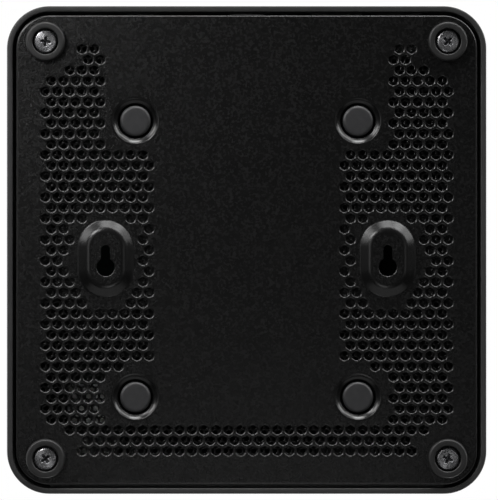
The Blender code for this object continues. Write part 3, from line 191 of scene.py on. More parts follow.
def on_wall(patches, wall):
    """Patches given along a wall, up and into the case, turned into the frame's axes."""
    axes = WALL_AXES[wall]
    face = axes[2] * np.abs(axes[2, :2] @ case_half)
    return [(points @ axes - face, faces, smooth) for points, faces, smooth in patches]


def opening(centre, half, radius, steps, lip=CASE_LIP):
    """A hole in a wall: its outline widened by the lip at the face, rolled in, then straight to the back."""
    roll = quarter_round((lip, 0), (0, lip), 3, True, (0, CASE_WALL))
    return rounded_loops(centre, half, radius, roll, steps)


OPENING_PLAY = 0.0004


def node_opening(node, wall, radius, steps, play=OPENING_PLAY):
    """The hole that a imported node's box needs in a wall, with play all round."""
    low, high = box_of(node) @ WALL_AXES[wall].T
    half = np.abs(high - low)[:2] / 2 + play
    return opening((low + high)[:2] / 2, half, min(radius, *half), steps)


def row(count, pitch):
    """Evenly spaced places about the middle of a row."""
    return (np.arange(count) - (count - 1) / 2) * pitch


def slots(places, low, high):
    """Upright slots with round ends at the given places along a wall."""
    half = SLOT_HALF_WIDTH, (high - low) / 2
    return [opening((x, (low + high) / 2), half, SLOT_HALF_WIDTH, 6) for x in places]


SLOT_HALF_WIDTH = 0.0011
SLOT_PLACES = row(12, 0.0044)
EXHAUST_RISE = 0.0016
SIDE_SLOT_DROP = 0.0075
SIDE_SLOT_LENGTH = 0.0120
fins_low, fins_high = box_of("heat_sink")
exhaust_places = SLOT_PLACES - (fins_low[0] + fins_high[0]) / 2
side_high = case_high[2] - SIDE_SLOT_DROP
side_slots = slots(SLOT_PLACES, side_high - SIDE_SLOT_LENGTH, side_high)

PLATE_OVERLAP = 0.0016
PLATE_WINDOW_CORNER = 0.0010
plate_window = node_opening("rear_plate", "rear", PLATE_WINDOW_CORNER, 6, -PLATE_OVERLAP)

BUTTON_RADIUS = 0.0050
LIGHT_RADIUS = 0.0008
LIGHT_LIP = 0.00015
button_low, button_high = box_of("power_button")
button_middle = 0, (button_low[2] + button_high[2]) / 2
button_hole = BUTTON_RADIUS + OPENING_PLAY
light_middle = box_of("status_light").sum(0)[[0, 2]] / 2
light_hole = LIGHT_RADIUS + OPENING_PLAY
# Each front socket's hole: the radius of its corners and the steps in each.
FRONT_HOLES = {"front_usb_left": (0.0008, 5), "front_usb_right": (0.0008, 5), "front_usb_c": (0.0020, 10),
               "audio_jack": (0.0012, 8)}
wall_openings = {
    "front": [node_opening(node, "front", *corner) for node, corner in FRONT_HOLES.items()] + [
        opening(button_middle, (button_hole, button_hole), button_hole, 16),
        opening(light_middle, (light_hole, light_hole), light_hole, 6, LIGHT_LIP),
    ],
    "rear": [plate_window] + slots(exhaust_places, fins_low[2] + EXHAUST_RISE, fins_high[2]),
    "left": side_slots,
    "right": side_slots,
}

rim_z, top_z = case_low[2], case_high[2]
wall_low, wall_high = rim_z + CASE_RIM_ROUND, top_z - CASE_TOP_ROUND
ceiling_z = top_z - CASE_TOP_WALL
rim = quarter_round((CASE_WALL, wall_low), (CASE_WALL - CASE_RIM_INSIDE, rim_z), 3, False,
                    quarter_round((CASE_RIM_ROUND, rim_z), (0, wall_low), 5, True))
crown_loops = case_loops(quarter_round((0, wall_high), (CASE_TOP_ROUND, top_z), 10, False))
inner_loops = case_loops(((CASE_WALL, wall_low), (CASE_WALL, ceiling_z)))

# A low square bead runs round inside the walls and closes the gap behind the rear plate.
BEAD_HIGH = 0.0012
BEAD_OUT = 0.00027
BEAD_ROOT = 0.0002
BEAD_OVER_PLATE = 0.0001
bead_low = box_of("rear_plate")[0, 2] + BEAD_OVER_PLATE
bead = np.array([(-BEAD_ROOT, 0), (BEAD_OUT, 0), (BEAD_OUT, BEAD_HIGH), (-BEAD_ROOT, BEAD_HIGH),
                 (-BEAD_ROOT, 0)])
case_patches = [
    loft(case_loops(rim)),
    loft(crown_loops),
    strips(corners_only(case_loops(((0, wall_low), (0, wall_high))))),
    strips(corners_only(inner_loops)),
    loft(case_loops(bead + (CASE_WALL, bead_low)), False),
    flat_area(crown_loops[-1:], top_z),
    flat_area(inner_loops[-1:], ceiling_z),
]
for wall, holes in wall_openings.items():
    side = (case_half - CASE_CORNER) @ np.abs(WALL_AXES[wall][0, :2])
    for depth, high, level in ((0, wall_high, 0), (CASE_WALL, ceiling_z, -1)):
        edge = np.array([(-side, wall_low), (side, wall_low), (side, high), (-side, high)])
        case_patches += on_wall([flat_area([edge] + [hole[level] for hole in holes], depth)], wall)
    case_patches += on_wall([loft(hole) for hole in holes], wall)


def combined(tree, operation, first, second):
    """One arithmetic operation on a factor and another factor or number."""
    node = tree.nodes.new("ShaderNodeMath")
    node.operation = operation
    tree.links.new(first, node.inputs[0])
    if isinstance(second, (int, float)):
        node.inputs[1].default_value = second
    else:
        tree.links.new(second, node.inputs[1])
    return node.outputs["Value"]


class Surface:
    """A material whose Principled shader is fed by textures in the object's own coordinates, in metres. The
    span is where most of a noise's values lie."""
    SPAN = 0.3, 0.7

    def __init__(self, name, roughness, metallic=0.0):
        self.material = bpy.data.materials.new(name)
        self.material.use_nodes = True
        self.nodes = self.material.node_tree.nodes
        self.link = self.material.node_tree.links.new
        self.shader = self.nodes["Principled BSDF"]
        self.shader.inputs["Roughness"].default_value = roughness
        self.shader.inputs["Metallic"].default_value = metallic
        self.place = self.nodes.new("ShaderNodeTexCoord").outputs["Object"]

    def noise(self, size, detail=2.0, stretch=None):
        """Cloudy values with features of about this size, stretched along the axes if asked."""
        node = self.nodes.new("ShaderNodeTexNoise")
        node.inputs["Scale"].default_value = 1 / size
        node.inputs["Detail"].default_value = detail
        place = self.place
        if stretch:
            mapping = self.nodes.new("ShaderNodeMapping")
            mapping.inputs["Scale"].default_value = stretch
            self.link(place, mapping.inputs["Vector"])
            place = mapping.outputs["Vector"]
        self.link(place, node.inputs["Vector"])
        return node.outputs["Fac"]

    def factor(self, grain):
        """A ready factor as it is, or noise from its size, or its size, detail and stretch."""
        if isinstance(grain, tuple):
            return self.noise(*grain)
        return self.noise(grain) if isinstance(grain, float) else grain

    def feed(self, socket, grain, *stops):
        """Feeds a socket of the shader with (position, colour or grey) stops along a grain."""
        node = self.nodes.new("ShaderNodeValToRGB")
        elements = node.color_ramp.elements
        while len(elements) < len(stops):
            elements.new(0.5)
        for element, (position, colour) in zip(elements, stops):
            element.position = position
            element.color = (*colour, 1) if isinstance(colour, tuple) else (colour, colour, colour, 1)
        self.link(self.factor(grain), node.inputs["Fac"])
        self.link(node.outputs["Color"], self.shader.inputs[socket])
        return self

    def colour(self, grain, dark, light, span=SPAN):
        """Base colour, from dark to light over a span of the grain."""
        return self.feed("Base Color", grain, (span[0], dark), (span[1], light))

    def sheen(self, grain, low, high, height=0):
        """Roughness, from low to high over the grain, which also raises the surface if it has a height."""
        factor = self.factor(grain)
        if height:
            self.bumps(factor, height)
        return self.feed("Roughness", factor, (self.SPAN[0], low), (self.SPAN[1], high))

    def flats(self):
        """The mesh's attribute level."""
        node = self.nodes.new("ShaderNodeAttribute")
        node.attribute_name = "level"
        return node.outputs["Fac"]

    def on_flats(self, grain):
        """A grain on flat faces, and 0 on turned or rolled ones."""
        return combined(self.material.node_tree, 'MULTIPLY', self.factor(grain), self.flats())

    def bumps(self, grain, height, under=None, where=None):
        """Raises the surface by up to this height where the grain is 1, only as far as where allows."""
        node = self.nodes.new("ShaderNodeBump")
        node.inputs["Distance"].default_value = height
        self.link(self.factor(grain), node.inputs["Height"])
        if under:
            self.link(under, node.inputs["Normal"])
        if where:
            self.link(where, node.inputs["Strength"])
        self.link(node.outputs["Normal"], self.shader.inputs["Normal"])
        return node.outputs["Normal"]


case_plastic = Surface("case_plastic", 0.5).colour(0.004, 0.014, 0.0185)
case_plastic.sheen((0.00035, 3), 0.42, 0.58, 0.00004)
make_piece("case_moulding", case_plastic, case_patches, ["case_shell"])


# Inside: the board and its cards are glass fibre under a dark solder mask, the drive is a black-coated
# casting, and the cooling is copper, aluminium and black plastic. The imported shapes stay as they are.
CORNERS = ("front_left", "front_right", "rear_left", "rear_right")


def finish_nodes(surface, *names):
    """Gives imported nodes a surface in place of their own."""
    for name in names:
        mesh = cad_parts[name].data
        mesh.materials.clear()
        mesh.materials.append(surface.material)


board_mask = Surface("board_mask", 0.35)
board_mask.colour((0.0016, 4), (0.004, 0.010, 0.007), (0.010, 0.022, 0.015), (0.42, 0.60))
board_mask.sheen(0.0008, 0.30, 0.5)
finish_nodes(board_mask, "motherboard", "drive_riser", "memory_card_front", "memory_card_rear",
             "storage_card", "wireless_card", "antenna_left", "antenna_right")
inner_plastic = Surface("inner_plastic", 0.5).colour(0.002, 0.010, 0.016).sheen(0.0005, 0.42, 0.6)
finish_nodes(inner_plastic, "drive_socket", "blower_housing", "blower_lid", "blower_rotor", "power_switch",
             "memory_socket_front", "memory_socket_rear", "storage_socket", "wireless_socket")
drive_coat = Surface("drive_coat", 0.5, 0.2).colour((0.0007, 3), 0.006, 0.011)
drive_coat.bumps(0.0004, 0.00002)
finish_nodes(drive_coat, "drive")
bright_steel = Surface("bright_steel", 0.3, 1.0).colour((0.0012, 3), 0.52, (0.66, 0.66, 0.65))
bright_steel.sheen((0.0006, 2, (1, 1, 12)), 0.24, 0.4)
finish_nodes(bright_steel, "coin_cell", "blower_axle",
             *(kind + corner for kind in ("board_screw_", "drive_screw_") for corner in CORNERS))
fin_metal = Surface("fin_metal", 0.5, 1.0).colour(0.002, (0.26, 0.27, 0.28), (0.34, 0.35, 0.36))
finish_nodes(fin_metal, "heat_sink")
copper = Surface("copper", 0.32, 1.0).colour(0.003, (0.66, 0.27, 0.15), (0.80, 0.38, 0.24))
finish_nodes(copper, "heat_pipe")
chip_lid = Surface("chip_lid", 0.4).colour(0.002, 0.02, 0.035)
finish_nodes(chip_lid, "processor")


# The wireless card's radio sits under a pressed can of matt tinned sheet, soldered to the card. It is the
# light shape behind the vents at the rear left.
CAN_HALF = 0.0066, 0.0056
CAN_FROM_CARD_END = 0.0083
CAN_CORNER = 0.0009
CAN_ROUND = 0.00035
CAN_OVER_CHIP = 0.00006
CARD_THICK = 0.0008


def end_face(loop, smooth=False):
    """One face across a flat loop."""
    return loop, np.arange(len(loop))[None], smooth


def closed(loops):
    """Lofted loops with a face across the first and the last."""
    return [loft(loops), end_face(loops[0]), end_face(loops[-1])]


card_low, card_high = box_of("wireless_card")
can_middle = (card_low[0] + card_high[0]) / 2, card_high[1] - CAN_FROM_CARD_END
can_face = card_low[2] - CAN_OVER_CHIP
can_profile = quarter_round((-CAN_ROUND, can_face), (0, can_face + CAN_ROUND), 4, True,
                            (0, card_high[2] - CARD_THICK))
tin_sheet = Surface("tin_sheet", 0.6, 0.1).colour((0.003, 3), (0.80, 0.80, 0.79), (0.90, 0.90, 0.89))
tin_sheet.sheen(0.0007, 0.5, 0.62)
can = closed(rounded_loops(can_middle, CAN_HALF, CAN_CORNER, can_profile, 6))
make_piece("wireless_can", tin_sheet, can)


# The sockets hang from the board's edges and show through the front wall and the rear plate. Each is a
# folded shell of nickel-plated sheet round a black plastic tongue that carries gold-plated contacts.
SHELL_EDGE = 0.0003
SHELL_CORNER = 0.0006
SHELL_LIP = 0.00035
SLIM_SHELL_CORNER = 0.0016
SLIM_LIP = 0.00016
MOUTH_DEPTH = 0.0085
MOUTH_SOFT = 0.0003
TONGUE_IN = 0.0012
TONGUE_EDGE = 0.0002
BACKING = 0.0003
CONTACT_IN = 0.0006
CONTACT_EDGE = 0.00004
FIT = 2e-5


def softened(corners, radius, steps):
    """A polygon whose corners are parabolas between the points that lie a radius away along its sides."""
    corners = np.array(corners)

    def toward(other):
        return corners + radius * (other - corners) / np.linalg.norm(other - corners, axis=1, keepdims=True)

    t = np.linspace(0, 1, steps + 1)[:, None]
    before, after = toward(np.roll(corners, 1, 0))[:, None], toward(np.roll(corners, -1, 0))[:, None]
    return ((1 - t) ** 2 * before + 2 * t * (1 - t) * corners[:, None] + t ** 2 * after).reshape(-1, 2)


def grown(outline, distance):
    """An anticlockwise outline whose sides are moved out: each point goes along its two sides' normals."""
    side = np.roll(outline, -1, 0) - outline
    normal = np.stack((side[:, 1], -side[:, 0]), -1) / np.linalg.norm(side, axis=1, keepdims=True)
    before = np.roll(normal, 1, 0)
    return outline + distance * (normal + before) / (1 + (normal * before).sum(1, keepdims=True))


def grown_loops(outline, profile):
    """An outline carried along a profile of (growth, depth) points."""
    return np.stack([at_level(grown(outline, out), depth) for out, depth in profile])


def bar(middle, half, front, back, edge):
    """A straight bar with round edges all round and a rounded end towards the wall's face."""
    nose = quarter_round((-edge, front), (0, front + edge), 3, True, (0, back))
    return closed(grown_loops(rounded_outline(*half, edge * 1.5, 3) + middle, nose))


def socket_place(node, wall):
    """A socket's middle and half size along its wall, and the depths of its front and back."""
    corners = box_of(node) @ WALL_AXES[wall].T
    low, high = corners.min(0), corners.max(0)
    outer_face = -np.abs(WALL_AXES[wall][2, :2] @ case_half)
    return (low + high)[:2] / 2, (high - low)[:2] / 2, low[2] - outer_face, high[2] - outer_face


def socket_shell(node, wall, radius, mouths, depth, lip=SHELL_LIP):
    """A closed block with a rounded front edge and, in its face, mouths whose edges roll in to a depth."""
    middle, half, front, back = socket_place(node, wall)
    rim = min(SHELL_EDGE, lip)
    edge = quarter_round((-rim, front), (0, front + rim), 3, True, (0, back))
    roll = quarter_round((lip, front), (0, front + lip), 4, True, (0, front + depth))
    sides = [grown_loops(rounded_outline(*half, radius, 8) + middle, edge)]
    sides += [grown_loops(mouth + middle, roll) for mouth in mouths]
    patches = [flat_area([loops[0] for loops in sides], front)]
    patches += [loft(loops) for loops in sides] + [end_face(loops[-1]) for loops in sides]
    return on_wall(patches, wall)


shell_metal = Surface("shell_metal", 0.32, 1.0).colour((0.004, 3), (0.50, 0.50, 0.49), (0.58, 0.58, 0.57))
shell_metal.sheen((0.0004, 2, (1, 1, 14)), 0.28, 0.36)
socket_plastic = Surface("socket_plastic", 0.45).colour(0.0015, 0.010, 0.016).sheen(0.0004, 0.36, 0.5)
contact_gold = Surface("contact_gold", 0.25, 1.0).colour(0.0008, (0.72, 0.50, 0.20), (0.86, 0.62, 0.28))
contact_gold.sheen(0.0003, 0.2, 0.32)

FLAT_HALF = 0.00625, 0.0025
SLIM_HALF = 0.0042, 0.0013
SLIM_ROUND = 0.00128
STACK_PITCH = 0.0074
flat_mouth = rounded_outline(*FLAT_HALF, MOUTH_SOFT, 4)
slim_mouth = rounded_outline(*SLIM_HALF, SLIM_ROUND, 10)
tapered_mouth = softened([(0.0070, -0.0004), (0.0070, 0.0023), (-0.0070, 0.0023), (-0.0070, -0.0004),
                          (-0.0053, -0.0023), (0.0053, -0.0023)], MOUTH_SOFT, 4)
cornered_mouth = softened([(0.00805, -0.0002), (0.00805, 0.0024), (-0.00805, 0.0024), (-0.00805, -0.0024),
                           (0.00585, -0.0024)], MOUTH_SOFT, 4)

# Each kind of socket: its shell's corner and lip, its mouth, the tongue's middle height and half size, and
# its contacts' count, pitch, half width and side of the tongue.
flat_kind = SHELL_CORNER, SHELL_LIP, flat_mouth, 0.0006, (0.00555, 0.00095), 4, 0.0025, 0.0006, -1
slim_kind = SLIM_SHELL_CORNER, SLIM_LIP, slim_mouth, 0.0, (0.00335, 0.00035), 12, 0.0005, 0.00013, 1
video_kind = SHELL_CORNER, SHELL_LIP, tapered_mouth, 0.0, (0.0050, 0.0004), 10, 0.0009, 0.0002, 1
screen_kind = SHELL_CORNER, SHELL_LIP, cornered_mouth, 0.0, (0.0060, 0.0004), 10, 0.0010, 0.0002, 1
single = [(0, 0)]
stacked = [(0, up) for up in row(2, STACK_PITCH)]
shielded = (
    ("front_usb_left", "front", flat_kind, single),
    ("front_usb_right", "front", flat_kind, single),
    ("front_usb_c", "front", slim_kind, single),
    ("rear_usb_stack", "rear", flat_kind, stacked),
    ("hdmi_port", "rear", video_kind, single),
    ("display_port", "rear", screen_kind, single),
)
for node, wall, kind, places in shielded:
    corner, lip, mouth, rise, tongue_half, count, pitch, contact_half, face_side = kind
    middle, _, front, _ = socket_place(node, wall)
    mouths = [mouth + place for place in places]
    shell = socket_shell(node, wall, corner, mouths, MOUTH_DEPTH, lip)
    make_piece(node + "_shell", shell_metal, shell, [node])
    plastic, gold = [], []
    back = front + MOUTH_DEPTH
    contact_rise = face_side * (tongue_half[1] + CONTACT_EDGE)
    for place in places:
        centre = middle + place + (0, rise)
        plastic += closed(grown_loops(mouth + middle + place, [(-FIT, back - BACKING), (-FIT, back - FIT)]))
        plastic += bar(centre, tongue_half, front + TONGUE_IN, back - BACKING, TONGUE_EDGE)
        for across in row(count, pitch):
            gold += bar(centre + (across, contact_rise), (contact_half, 2 * CONTACT_EDGE),
                        front + TONGUE_IN + CONTACT_IN, back - BACKING, CONTACT_EDGE)
    make_piece(node + "_tongue", socket_plastic, on_wall(plastic, wall))
    make_piece(node + "_contacts", contact_gold, on_wall(gold, wall))


# The network socket is the same kind of shell with a notch for the plug's latch. Its eight spring wires
# come out of the black back wall and climb towards the mouth.
LATCH_HALF = 0.0031
PLUG_HALF = 0.0059
PLUG_TOP = 0.0049
LATCH_TOP = -0.0019
PLUG_DEPTH = 0.0130
BACK_WALL = 0.0040
WIRE_PITCH = 0.00102
WIRE_RADIUS = 0.0002
WIRE_IN = 0.0015
WIRE_HIGH = 0.0044
WIRE_FALL = 0.0030
WIRE_TURN = 0.62 * np.pi
plug_mouth = softened([(PLUG_HALF, LATCH_TOP), (PLUG_HALF, PLUG_TOP), (-PLUG_HALF, PLUG_TOP),
                       (-PLUG_HALF, LATCH_TOP), (-LATCH_HALF, LATCH_TOP), (-LATCH_HALF, -PLUG_TOP),
                       (LATCH_HALF, -PLUG_TOP), (LATCH_HALF, LATCH_TOP)], 2 * MOUTH_SOFT, 4)
shell = socket_shell("lan_port", "rear", SHELL_CORNER, [plug_mouth], PLUG_DEPTH)
make_piece("lan_port_shell", shell_metal, shell, ["lan_port"])
middle, _, front, _ = socket_place("lan_port", "rear")
back = front + PLUG_DEPTH
back_wall = closed(grown_loops(plug_mouth + middle, [(-FIT, back - BACK_WALL), (-FIT, back - FIT)]))
make_piece("lan_port_back", socket_plastic, on_wall(back_wall, "rear"))


def circle(steps):
    """Points (cos a, sin a) evenly round a circle of radius 1."""
    turn = np.linspace(0, 2 * np.pi, steps, endpoint=False)
    return np.stack((np.cos(turn), np.sin(turn)), -1)


def spring_wire(across):
    """A round wire from the mouth to the back wall, whose height falls by the square of a growing sine."""
    t = np.linspace(0, 1, 12)[:, None]
    path = middle + (across, 0) + np.hstack((0 * t, WIRE_HIGH - WIRE_FALL * np.sin(WIRE_TURN * t) ** 2))
    depth = front + WIRE_IN + (PLUG_DEPTH - BACK_WALL - WIRE_IN) * t
    return closed(np.stack([np.hstack((path + WIRE_RADIUS * spoke, depth)) for spoke in circle(8)], 1))


wires = [patch for across in row(8, WIRE_PITCH) for patch in spring_wire(across)]
make_piece("lan_port_contacts", contact_gold, on_wall(wires, "rear"))


# The power inlet and the headphone socket are black plastic blocks with a round mouth in a turned collar.
# The inlet has a nickel-plated pin in its middle.
ROUND_STEPS = 12
NEARLY_ROUND = 0.999
COLLAR_REACH = 0.0004
COLLAR_EDGE = 0.0002
BORE_ROUND_SHARE = 0.4
PIN_RADIUS = 0.00105
PIN_IN = 0.0008
PIN_NOSE = 0.0007
PIN_NOSE_LENGTH = 0.0010


def round_outline(radius, steps):
    """A circle as four quarter turns."""
    return rounded_outline(radius, radius, radius * NEARLY_ROUND, steps)


def round_loops(middle, profile, steps):
    """Circles of a profile's radii at its depths."""
    return np.stack([at_level(round_outline(radius, steps) + middle, depth) for radius, depth in profile])


def round_socket(node, wall, corner, collar, bore):
    """A block with a blind bore, and on its face a ring that stands out from the bore to a collar."""
    middle, half, front, back = socket_place(node, wall)
    edge = quarter_round((-SHELL_EDGE, front), (0, front + SHELL_EDGE), 3, True, (0, back))
    outside = grown_loops(rounded_outline(*half, corner, 4) + middle, edge)
    top = front - COLLAR_REACH
    bore_round = (collar - bore) * BORE_ROUND_SHARE
    ring = np.vstack(((collar, front),
                      quarter_round((collar, top + COLLAR_EDGE), (collar - COLLAR_EDGE, top), 3, False),
                      quarter_round((bore + bore_round, top), (bore, top + bore_round), 4, True),
                      (bore, front + MOUTH_DEPTH)))
    turned = round_loops(middle, ring, ROUND_STEPS)
    patches = [flat_area([outside[0], turned[0]], front)]
    for loops in (outside, turned):
        patches += [loft(loops), end_face(loops[-1])]
    return on_wall(patches, wall)


# Each round socket: its wall, and the radii of its corners, collar and bore.
for node, wall, *radii in (("audio_jack", "front", 0.0005, 0.0024, 0.0018),
                           ("dc_jack", "rear", 0.0006, 0.0040, 0.0031)):
    make_piece(node + "_block", socket_plastic, round_socket(node, wall, *radii), [node])
middle, _, front, _ = socket_place("dc_jack", "rear")
pin_profile = quarter_round((-PIN_NOSE, front + PIN_IN), (0, front + PIN_IN + PIN_NOSE_LENGTH), 5, True,
                            (0, front + MOUTH_DEPTH - FIT))
pin = closed(grown_loops(round_outline(PIN_RADIUS, ROUND_STEPS) + middle, pin_profile))
make_piece("dc_jack_pin", shell_metal, on_wall(pin, "rear"))


# The rear plate is folded steel with a fine brushed line along it, sprung between the case and the
# sockets, whose fronts stand in its openings.
plate_steel = Surface("plate_steel", 0.42, 1.0).colour((0.010, 3), 0.30, 0.35)
plate_steel.sheen((0.0003, 2, (40, 1, 1)), 0.36, 0.48)
finish_nodes(plate_steel, "rear_plate")


# The power button is a turned cap of satin black plastic with a dished face and a flange behind the wall.
# The status light beside it is the frosted end of a clear rod.
CAP_EDGE = 0.0005
CAP_DISH = 0.00025
CAP_FLANGE_RADIUS = 0.0060
CAP_FLANGE_THICK = 0.0008
cap_front, cap_back = button_low[1] + case_half[1], button_high[1] + case_half[1]
flange_front = cap_back - CAP_FLANGE_THICK
dish = np.linspace(0, 1, 8)[1:-1, None]
cap_profile = np.vstack((
    np.hstack((dish * (BUTTON_RADIUS - CAP_EDGE), cap_front + CAP_DISH * (1 - dish ** 2))),
    quarter_round((BUTTON_RADIUS - CAP_EDGE, cap_front), (BUTTON_RADIUS, cap_front + CAP_EDGE), 5, True,
                  (BUTTON_RADIUS, flange_front), (CAP_FLANGE_RADIUS, flange_front),
                  (CAP_FLANGE_RADIUS, cap_back))))
cap_loops = round_loops(button_middle, cap_profile, 16)
cap_patches = [loft(cap_loops), end_face(cap_loops[0], True), end_face(cap_loops[-1], True)]
cap_plastic = Surface("cap_plastic", 0.38).colour(0.003, 0.012, 0.016).sheen(0.0005, 0.32, 0.42)
make_piece("button_cap", cap_plastic, on_wall(cap_patches, "front"), ["power_button"], "button")

light_rod = Surface("light_rod", 0.35).colour(0.0008, (0.62, 0.64, 0.66), (0.74, 0.76, 0.78))
light_rod.sheen(0.0004, 0.3, 0.45)
finish_nodes(light_rod, "status_light")


# The bottom cover is a pressed steel sheet under a coarse black powder coat. Punched hexagons let the
# air in, four drawn dishes carry the drive's screws, and the edge is turned up into the case's groove.
SHEET = 0.0010
COVER_CORNER = 0.0093
COVER_EDGE = 0.0006
cover_low, cover_high = box_of("bottom_cover")
cover_half = (cover_high[:2] - cover_low[:2]) / 2
cover_z = cover_low[2]


def middle_of(node):
    """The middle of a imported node's box, along x and y."""
    low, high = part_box(node)
    return np.array(low + high)[:2] / 2


foot_middles = np.array([middle_of("foot_" + corner) for corner in CORNERS])
dish_middles = np.array([middle_of("drive_plug_" + corner) for corner in CORNERS])
SIDES = "left", "right"
boss_middles = np.array([middle_of("keyhole_plate_" + side) for side in SIDES])
BOSS_HALF = 0.0077, 0.0107
BOSS_STEPS = 24


def lattice(pitch, rows, columns, first):
    """Rows of a triangular lattice: x = pitch * (i + half on every other row), y = pitch * sin 60 * k. It
    gives each place's row number k and the place."""
    k, i = np.meshgrid(np.arange(-rows, rows + 1), np.arange(-columns, columns), indexing="ij")
    place = np.stack((pitch * (i + 0.5 * ((k + first) % 2)), pitch * np.sin(np.pi / 3) * k), -1)
    return k.ravel(), place.reshape(-1, 2)


def distance(places, middles):
    """How far each place is from the nearest of the middles."""
    return np.linalg.norm(places[:, None] - middles, axis=-1).min(1)


def boss_distance(places):
    """How far each place is from the nearest boss's middle line."""
    past_end = np.abs(places[:, None] - boss_middles) - (0, BOSS_HALF[1] - BOSS_HALF[0])
    return np.linalg.norm(np.maximum(past_end, 0), axis=-1).min(1)


def hexagon(half_width):
    """Six corners about the origin, one of them at the top, with the half width across its sides."""
    turn = np.arange(6) * np.pi / 3 + np.pi / 2
    return half_width / np.cos(np.pi / 6) * np.stack((np.cos(turn), np.sin(turn)), -1)


def vent_outline(half_width):
    """A hexagon whose corners are cut off by a share of each side."""
    corner = hexagon(half_width)
    cuts = [corner + (np.roll(corner, step, 0) - corner) * VENT_CORNER_SHARE for step in (1, -1)]
    return np.stack(cuts, 1).reshape(-1, 2)


def hole_rings(middles, outline, profile):
    """Closed outlines of a profile's sizes at its heights round each middle: [hole, level, point, xyz]."""
    rings = np.stack([at_level(middles[:, None] + outline(size), z) for size, z in profile], 1)
    return np.concatenate((rings, rings[:, :, :1]), 2)


# The plain panel between the vents is wide as far as one row, narrower as far as another, and ends there.
VENT_PITCH = 0.003389
VENT_ROWS = 19
VENT_COLUMNS = 18
VENT_FIELD_HALF = 16.6 * VENT_PITCH
WIDE_PANEL_HALF = 11.75 * VENT_PITCH
WIDE_PANEL_END = -10
PANEL_HALF = 7.75 * VENT_PITCH
PANEL_END = 17
VENT_HALF_WIDTH = 0.00116
VENT_CORNER_SHARE = 0.17
FOOT_CLEAR = 0.00992
DISH_CLEAR = 0.00917
BOSS_CLEAR = 0.01011
vent_row, places = lattice(VENT_PITCH, VENT_ROWS, VENT_COLUMNS, 0)
panel = np.where(vent_row < WIDE_PANEL_END, WIDE_PANEL_HALF, np.where(vent_row < PANEL_END, PANEL_HALF, -1))
vents = places[(np.abs(places[:, 0]) < VENT_FIELD_HALF) & (np.abs(places[:, 0]) > panel)
               & (distance(places, foot_middles) > FOOT_CLEAR)
               & (distance(places, dish_middles) > DISH_CLEAR) & (boss_distance(places) > BOSS_CLEAR)]

# A vent's lip, as shares of its width: how far out and how deep.
VENT_LIP = 0.00044
LIP_ROLL = np.array(((1, 0), (0.8, 0.04), (0.45, 0.2), (0.15, 0.48), (0, 0.85), (0, SHEET / VENT_LIP)))
vent_rings = hole_rings(vents, vent_outline, VENT_LIP * LIP_ROLL + (VENT_HALF_WIDTH, cover_z))


def turned_rings(middle, profile, steps):
    """Circles of the profile's radii at its heights round one upright axis."""
    return np.stack([at_level(middle + radius * circle(steps), z) for radius, z in profile])


# A dish: rolled edge, shallow cone, then a steep step to the floor, as (radius, depth) points.
DISH_STEP = quarter_round((0.0052, 0.00075), (0.0048, 0.0014), 4, True, (0.0047, 0.0022), (0.0043, 0.0022))
DISH_FACE = quarter_round((0.0068, 0), (0.0061, 0.0002), 5, True, DISH_STEP)
DISH_BACK = quarter_round((0.0075, SHEET), (0.0068, 0.0015), 3, True,
                          quarter_round((0.0062, 0.0026), (0.0055, 0.0032), 3, False))
dish_faces, dish_backs = ([turned_rings(middle, profile + (0, cover_z), 64) for middle in dish_middles]
                          for profile in (DISH_FACE, DISH_BACK))

# The bosses stand in windows of the cover, a skirt's width larger than they are.
BOSS_SKIRT = 0.0006
boss_windows = [rounded_loops(middle, BOSS_HALF, BOSS_HALF[0], [(BOSS_SKIRT, cover_z)], BOSS_STEPS)[0]
                for middle in boss_middles]

edge_high = cover_high[2] - cover_z
edge_profile = quarter_round((-COVER_EDGE, 0), (0, COVER_EDGE), 5, True, (0, edge_high), (-SHEET, edge_high),
                             (-SHEET, SHEET)) + (0, cover_z)
edge_loops = rounded_loops((0, 0), cover_half, COVER_CORNER, edge_profile, CORNER_STEPS)
cover_patches = [loft(edge_loops), strips(vent_rings)]
for level, dishes, z in ((0, dish_faces, cover_z), (-1, dish_backs, cover_z + SHEET)):
    holes = *vent_rings[:, level, :-1], *(dish[0] for dish in dishes), *boss_windows
    cover_patches.append(flat_area([edge_loops[level], *holes], z))
for dish in dish_faces + dish_backs:
    cover_patches += [loft(dish), flat_area(dish[-1:], dish[-1, 0, 2])]

cover_coat = Surface("cover_coat", 0.4)
coat_grain = cover_coat.noise(0.00032)
coat_fine = cover_coat.noise(0.00016, 1)
coat_flats = cover_coat.flats()
cover_coat.colour(coat_grain, 0.0015, 0.004, (0.35, 0.65))
cover_coat.feed("Roughness", cover_coat.on_flats(0.0007),
                (0, 0.27), (0.2, 0.27), (0.35, 0.19), (0.65, 0.32))
cover_coat.bumps(coat_fine, 0.00003, cover_coat.bumps(coat_grain, 0.00004, where=coat_flats), coat_flats)
make_piece("cover_sheet", cover_coat, cover_patches, ["bottom_cover"])


